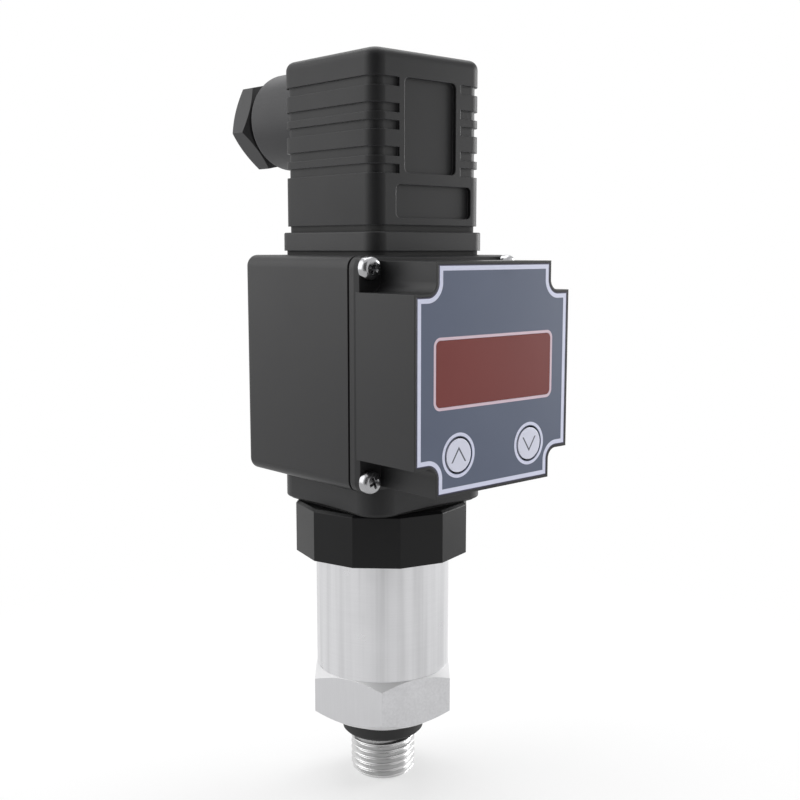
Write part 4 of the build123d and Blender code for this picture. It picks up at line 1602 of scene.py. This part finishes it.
@dataclass
class Studio:
    """Pale floor, soft lamps, white surroundings and the camera.

    Attributes:
        softboxes: The lamps.
        fill: Brightness of the surroundings for diffuse light.
        floor_side: Length of the floor's side.
        floor_tone: Linear brightness of the floor.
        floor_roughness: Roughness of the floor.
        floor_specular: Strength of the floor's reflection.
        floor_fade: Distances from the axis between which the floor turns plain white.
        floor_share: Share of plain white in the floor next to the object.
        flag_radius: Distance of the dark screen behind the camera from the axis.
        flag_height: Height of that screen.
        flag_spread: Angle that the screen spans, in degrees.
        flag_tone: Linear brightness of the screen's cloth.
        flag_steps: Facets along the screen.
        camera_place: Where the camera stands.
        camera_target: The point it looks at.
        lens: Its focal length.
        sensor: Width of its sensor.
        clip_start: Nearest distance that it sees.
        picture: Side of the picture in pixels.
        picture_drop: How far down the picture its axis meets it, in pixels from the middle.
    """

    softboxes: tuple[Softbox, ...] = (
        Softbox("right_lamp", 74, 6, 520, 300, 2.0),
        Softbox("left_lamp", -128, 24, 520, 520, 1.5),
        Softbox("top_lamp", 140, 72, 520, 520, 2.2),
    )
    fill: float = 0.42
    floor_side: float = 4000
    floor_tone: float = 0.86
    floor_roughness: float = 0.9
    floor_specular: float = 0.1
    floor_fade: tuple[float, float] = (40, 160)
    floor_share: float = 0.55
    flag_radius: float = 330
    flag_height: float = 420
    flag_spread: float = 60
    flag_tone: float = 0.12
    flag_steps: int = 16
    camera_place: tuple[float, float, float] = (-146.6, -168.4, 98.7)
    camera_target: tuple[float, float, float] = (2.53, -2.51, 67.8)
    lens: float = 50.6
    sensor: float = 36.0
    clip_start: float = 10
    picture: int = 800
    picture_drop: float = 3.4

    def build(self) -> None:
        """Sets up the studio and the camera."""
        self.camera()
        self.surroundings()
        self.floor()
        self.flag()
        for softbox in self.softboxes:
            self.lamp(softbox)
        bpy.context.scene.view_settings.view_transform = "Standard"

    def camera(self) -> None:
        """Places the camera at the viewing angle."""
        data = bpy.data.cameras.new("camera")
        data.lens = self.lens
        data.sensor_width = self.sensor
        data.shift_y = self.picture_drop / self.picture
        data.clip_start = self.clip_start * MM
        camera = link("camera", data)
        place, target = Vector(self.camera_place) * MM, Vector(self.camera_target) * MM
        self.aim(camera, place, target - place)
        bpy.context.scene.camera = camera

    def aim(self, thing: bpy.types.Object, place: Vector, direction: Vector) -> None:
        """Stands a camera or a lamp at a place and points it.

        Args:
            thing: The camera or lamp.
            place: Where it stands, in metres.
            direction: Which way it points.
        """
        thing.location = place
        thing.rotation_mode = "QUATERNION"
        thing.rotation_quaternion = direction.to_track_quat("-Z", "Y")

    def seen(self, graph: Graph) -> Socket:
        """Tells the rays that show the surroundings from those that light the object.

        Args:
            graph: The graph of the material or the world.

        Returns:
            1 for a ray that is seen, mirrored or let through, and 0 for any other.
        """
        path = graph.node("ShaderNodeLightPath", {}).outputs
        mirrored = graph.math("MAXIMUM", path["Is Glossy Ray"], path["Is Transmission Ray"])
        return graph.math("MAXIMUM", path["Is Camera Ray"], mirrored)

    def surroundings(self) -> None:
        """Makes the world white to look at and a plain grey as a light."""
        world = bpy.data.worlds.new("surroundings")
        world.use_nodes = True
        bpy.context.scene.world = world
        graph = Graph(world.node_tree)
        colour = graph.blend(self.seen(graph), grey(self.fill), grey(1.0))
        graph.feed(world.node_tree.nodes["Background"], {"Color": colour})

    def floor(self) -> None:
        """Lays a pale floor under the object that keeps its shadow and fades to white."""
        bm = bmesh.new()
        bmesh.ops.create_grid(bm, x_segments=1, y_segments=1, size=self.floor_side / 2 * MM)
        bmesh.ops.translate(bm, vec=(0, 0, cad_box[0].z), verts=bm.verts)
        mesh = mesh_of("floor", bm)
        mesh.materials.append(self.floor_paper())
        floor = link("floor", mesh)

    def floor_paper(self) -> bpy.types.Material:
        """Makes the floor's material: matt paper, and plain white further out.

        Returns:
            The material.
        """
        material, graph, shader = new_material("floor_paper")
        settings = {
            "Base Color": grey(self.floor_tone),
            "Roughness": self.floor_roughness,
            "Specular IOR Level": self.floor_specular,
        }
        graph.feed(shader, settings)
        flat = graph.scaled(graph.place(), (1.0, 1.0, 0.0))
        distance = graph.vector_math("LENGTH", flat)
        near, far = self.floor_fade
        blur = (far - near) / 2 * MM
        fade = graph.step(distance.outputs["Value"], (near + far) / 2 * MM, blur)
        share = graph.math("MULTIPLY_ADD", fade, 1 - self.floor_share, self.floor_share)
        white = graph.node("ShaderNodeEmission", {"Color": grey(1.0)})
        seen_share = graph.math("MULTIPLY", share, self.seen(graph))
        inputs = {0: seen_share, 1: shader.outputs[0], 2: white.outputs[0]}
        mixed = graph.node("ShaderNodeMixShader", inputs)
        graph.feed(material.node_tree.nodes["Material Output"], {"Surface": mixed.outputs[0]})
        return material

    def flag(self) -> None:
        """Stands a dark curved screen behind the camera, which only reflections show."""
        place = Vector(self.camera_place)
        spread = math.radians(self.flag_spread)
        start = math.atan2(place.y, place.x) - spread / 2
        bm = bmesh.new()
        foot = cad_box[0].z / MM
        heights = (foot, foot + self.flag_height)
        verts = [bm.verts.new((self.flag_radius, 0, height)) for height in heights]
        edge = bm.edges.new(verts)
        bm.transform(Matrix.Rotation(start, 4, "Z"))
        spin(bm, [*verts, edge], spread, self.flag_steps, use_merge=False)
        bmesh.ops.scale(bm, vec=(MM,) * 3, verts=bm.verts)
        material, graph, shader = new_material("flag_cloth")
        graph.feed(shader, {"Base Color": grey(self.flag_tone), "Roughness": 1.0})
        mesh = mesh_of("flag", bm)
        mesh.materials.append(material)
        flag = link("flag", mesh)
        flag.visible_camera = False
        flag.visible_diffuse = False
        flag.visible_shadow = False
        flag.visible_transmission = False

    def lamp(self, softbox: Softbox) -> None:
        """Hangs one soft lamp and points it at the object's middle.

        Args:
            softbox: The lamp.
        """
        middle = (cad_box[0] + cad_box[1]) / 2
        azimuth, elevation = math.radians(softbox.azimuth), math.radians(softbox.elevation)
        level = math.cos(elevation)
        towards = Vector(
            (math.sin(azimuth) * level, -math.cos(azimuth) * level, math.sin(elevation))
        )
        data = bpy.data.lights.new(softbox.name, "AREA")
        data.shape = "SQUARE"
        data.size = softbox.side * MM
        data.energy = softbox.power
        lamp = link(softbox.name, data)
        self.aim(lamp, middle + towards * softbox.distance * MM, -towards)
        lamp.visible_camera = False


def main() -> None:
    """Builds the sub-assemblies in order, then the studio."""
    logging.basicConfig(level=logging.INFO)
    for assembly in (
        ProcessEnd(),
        PlugBase(),
        DisplayHead(PanHeadScrew()),
        CablePlug(),
        Studio(),
    ):
        assembly.build()
        log.info("%s is done", type(assembly).__name__)


if __name__ == "__main__":
    main()
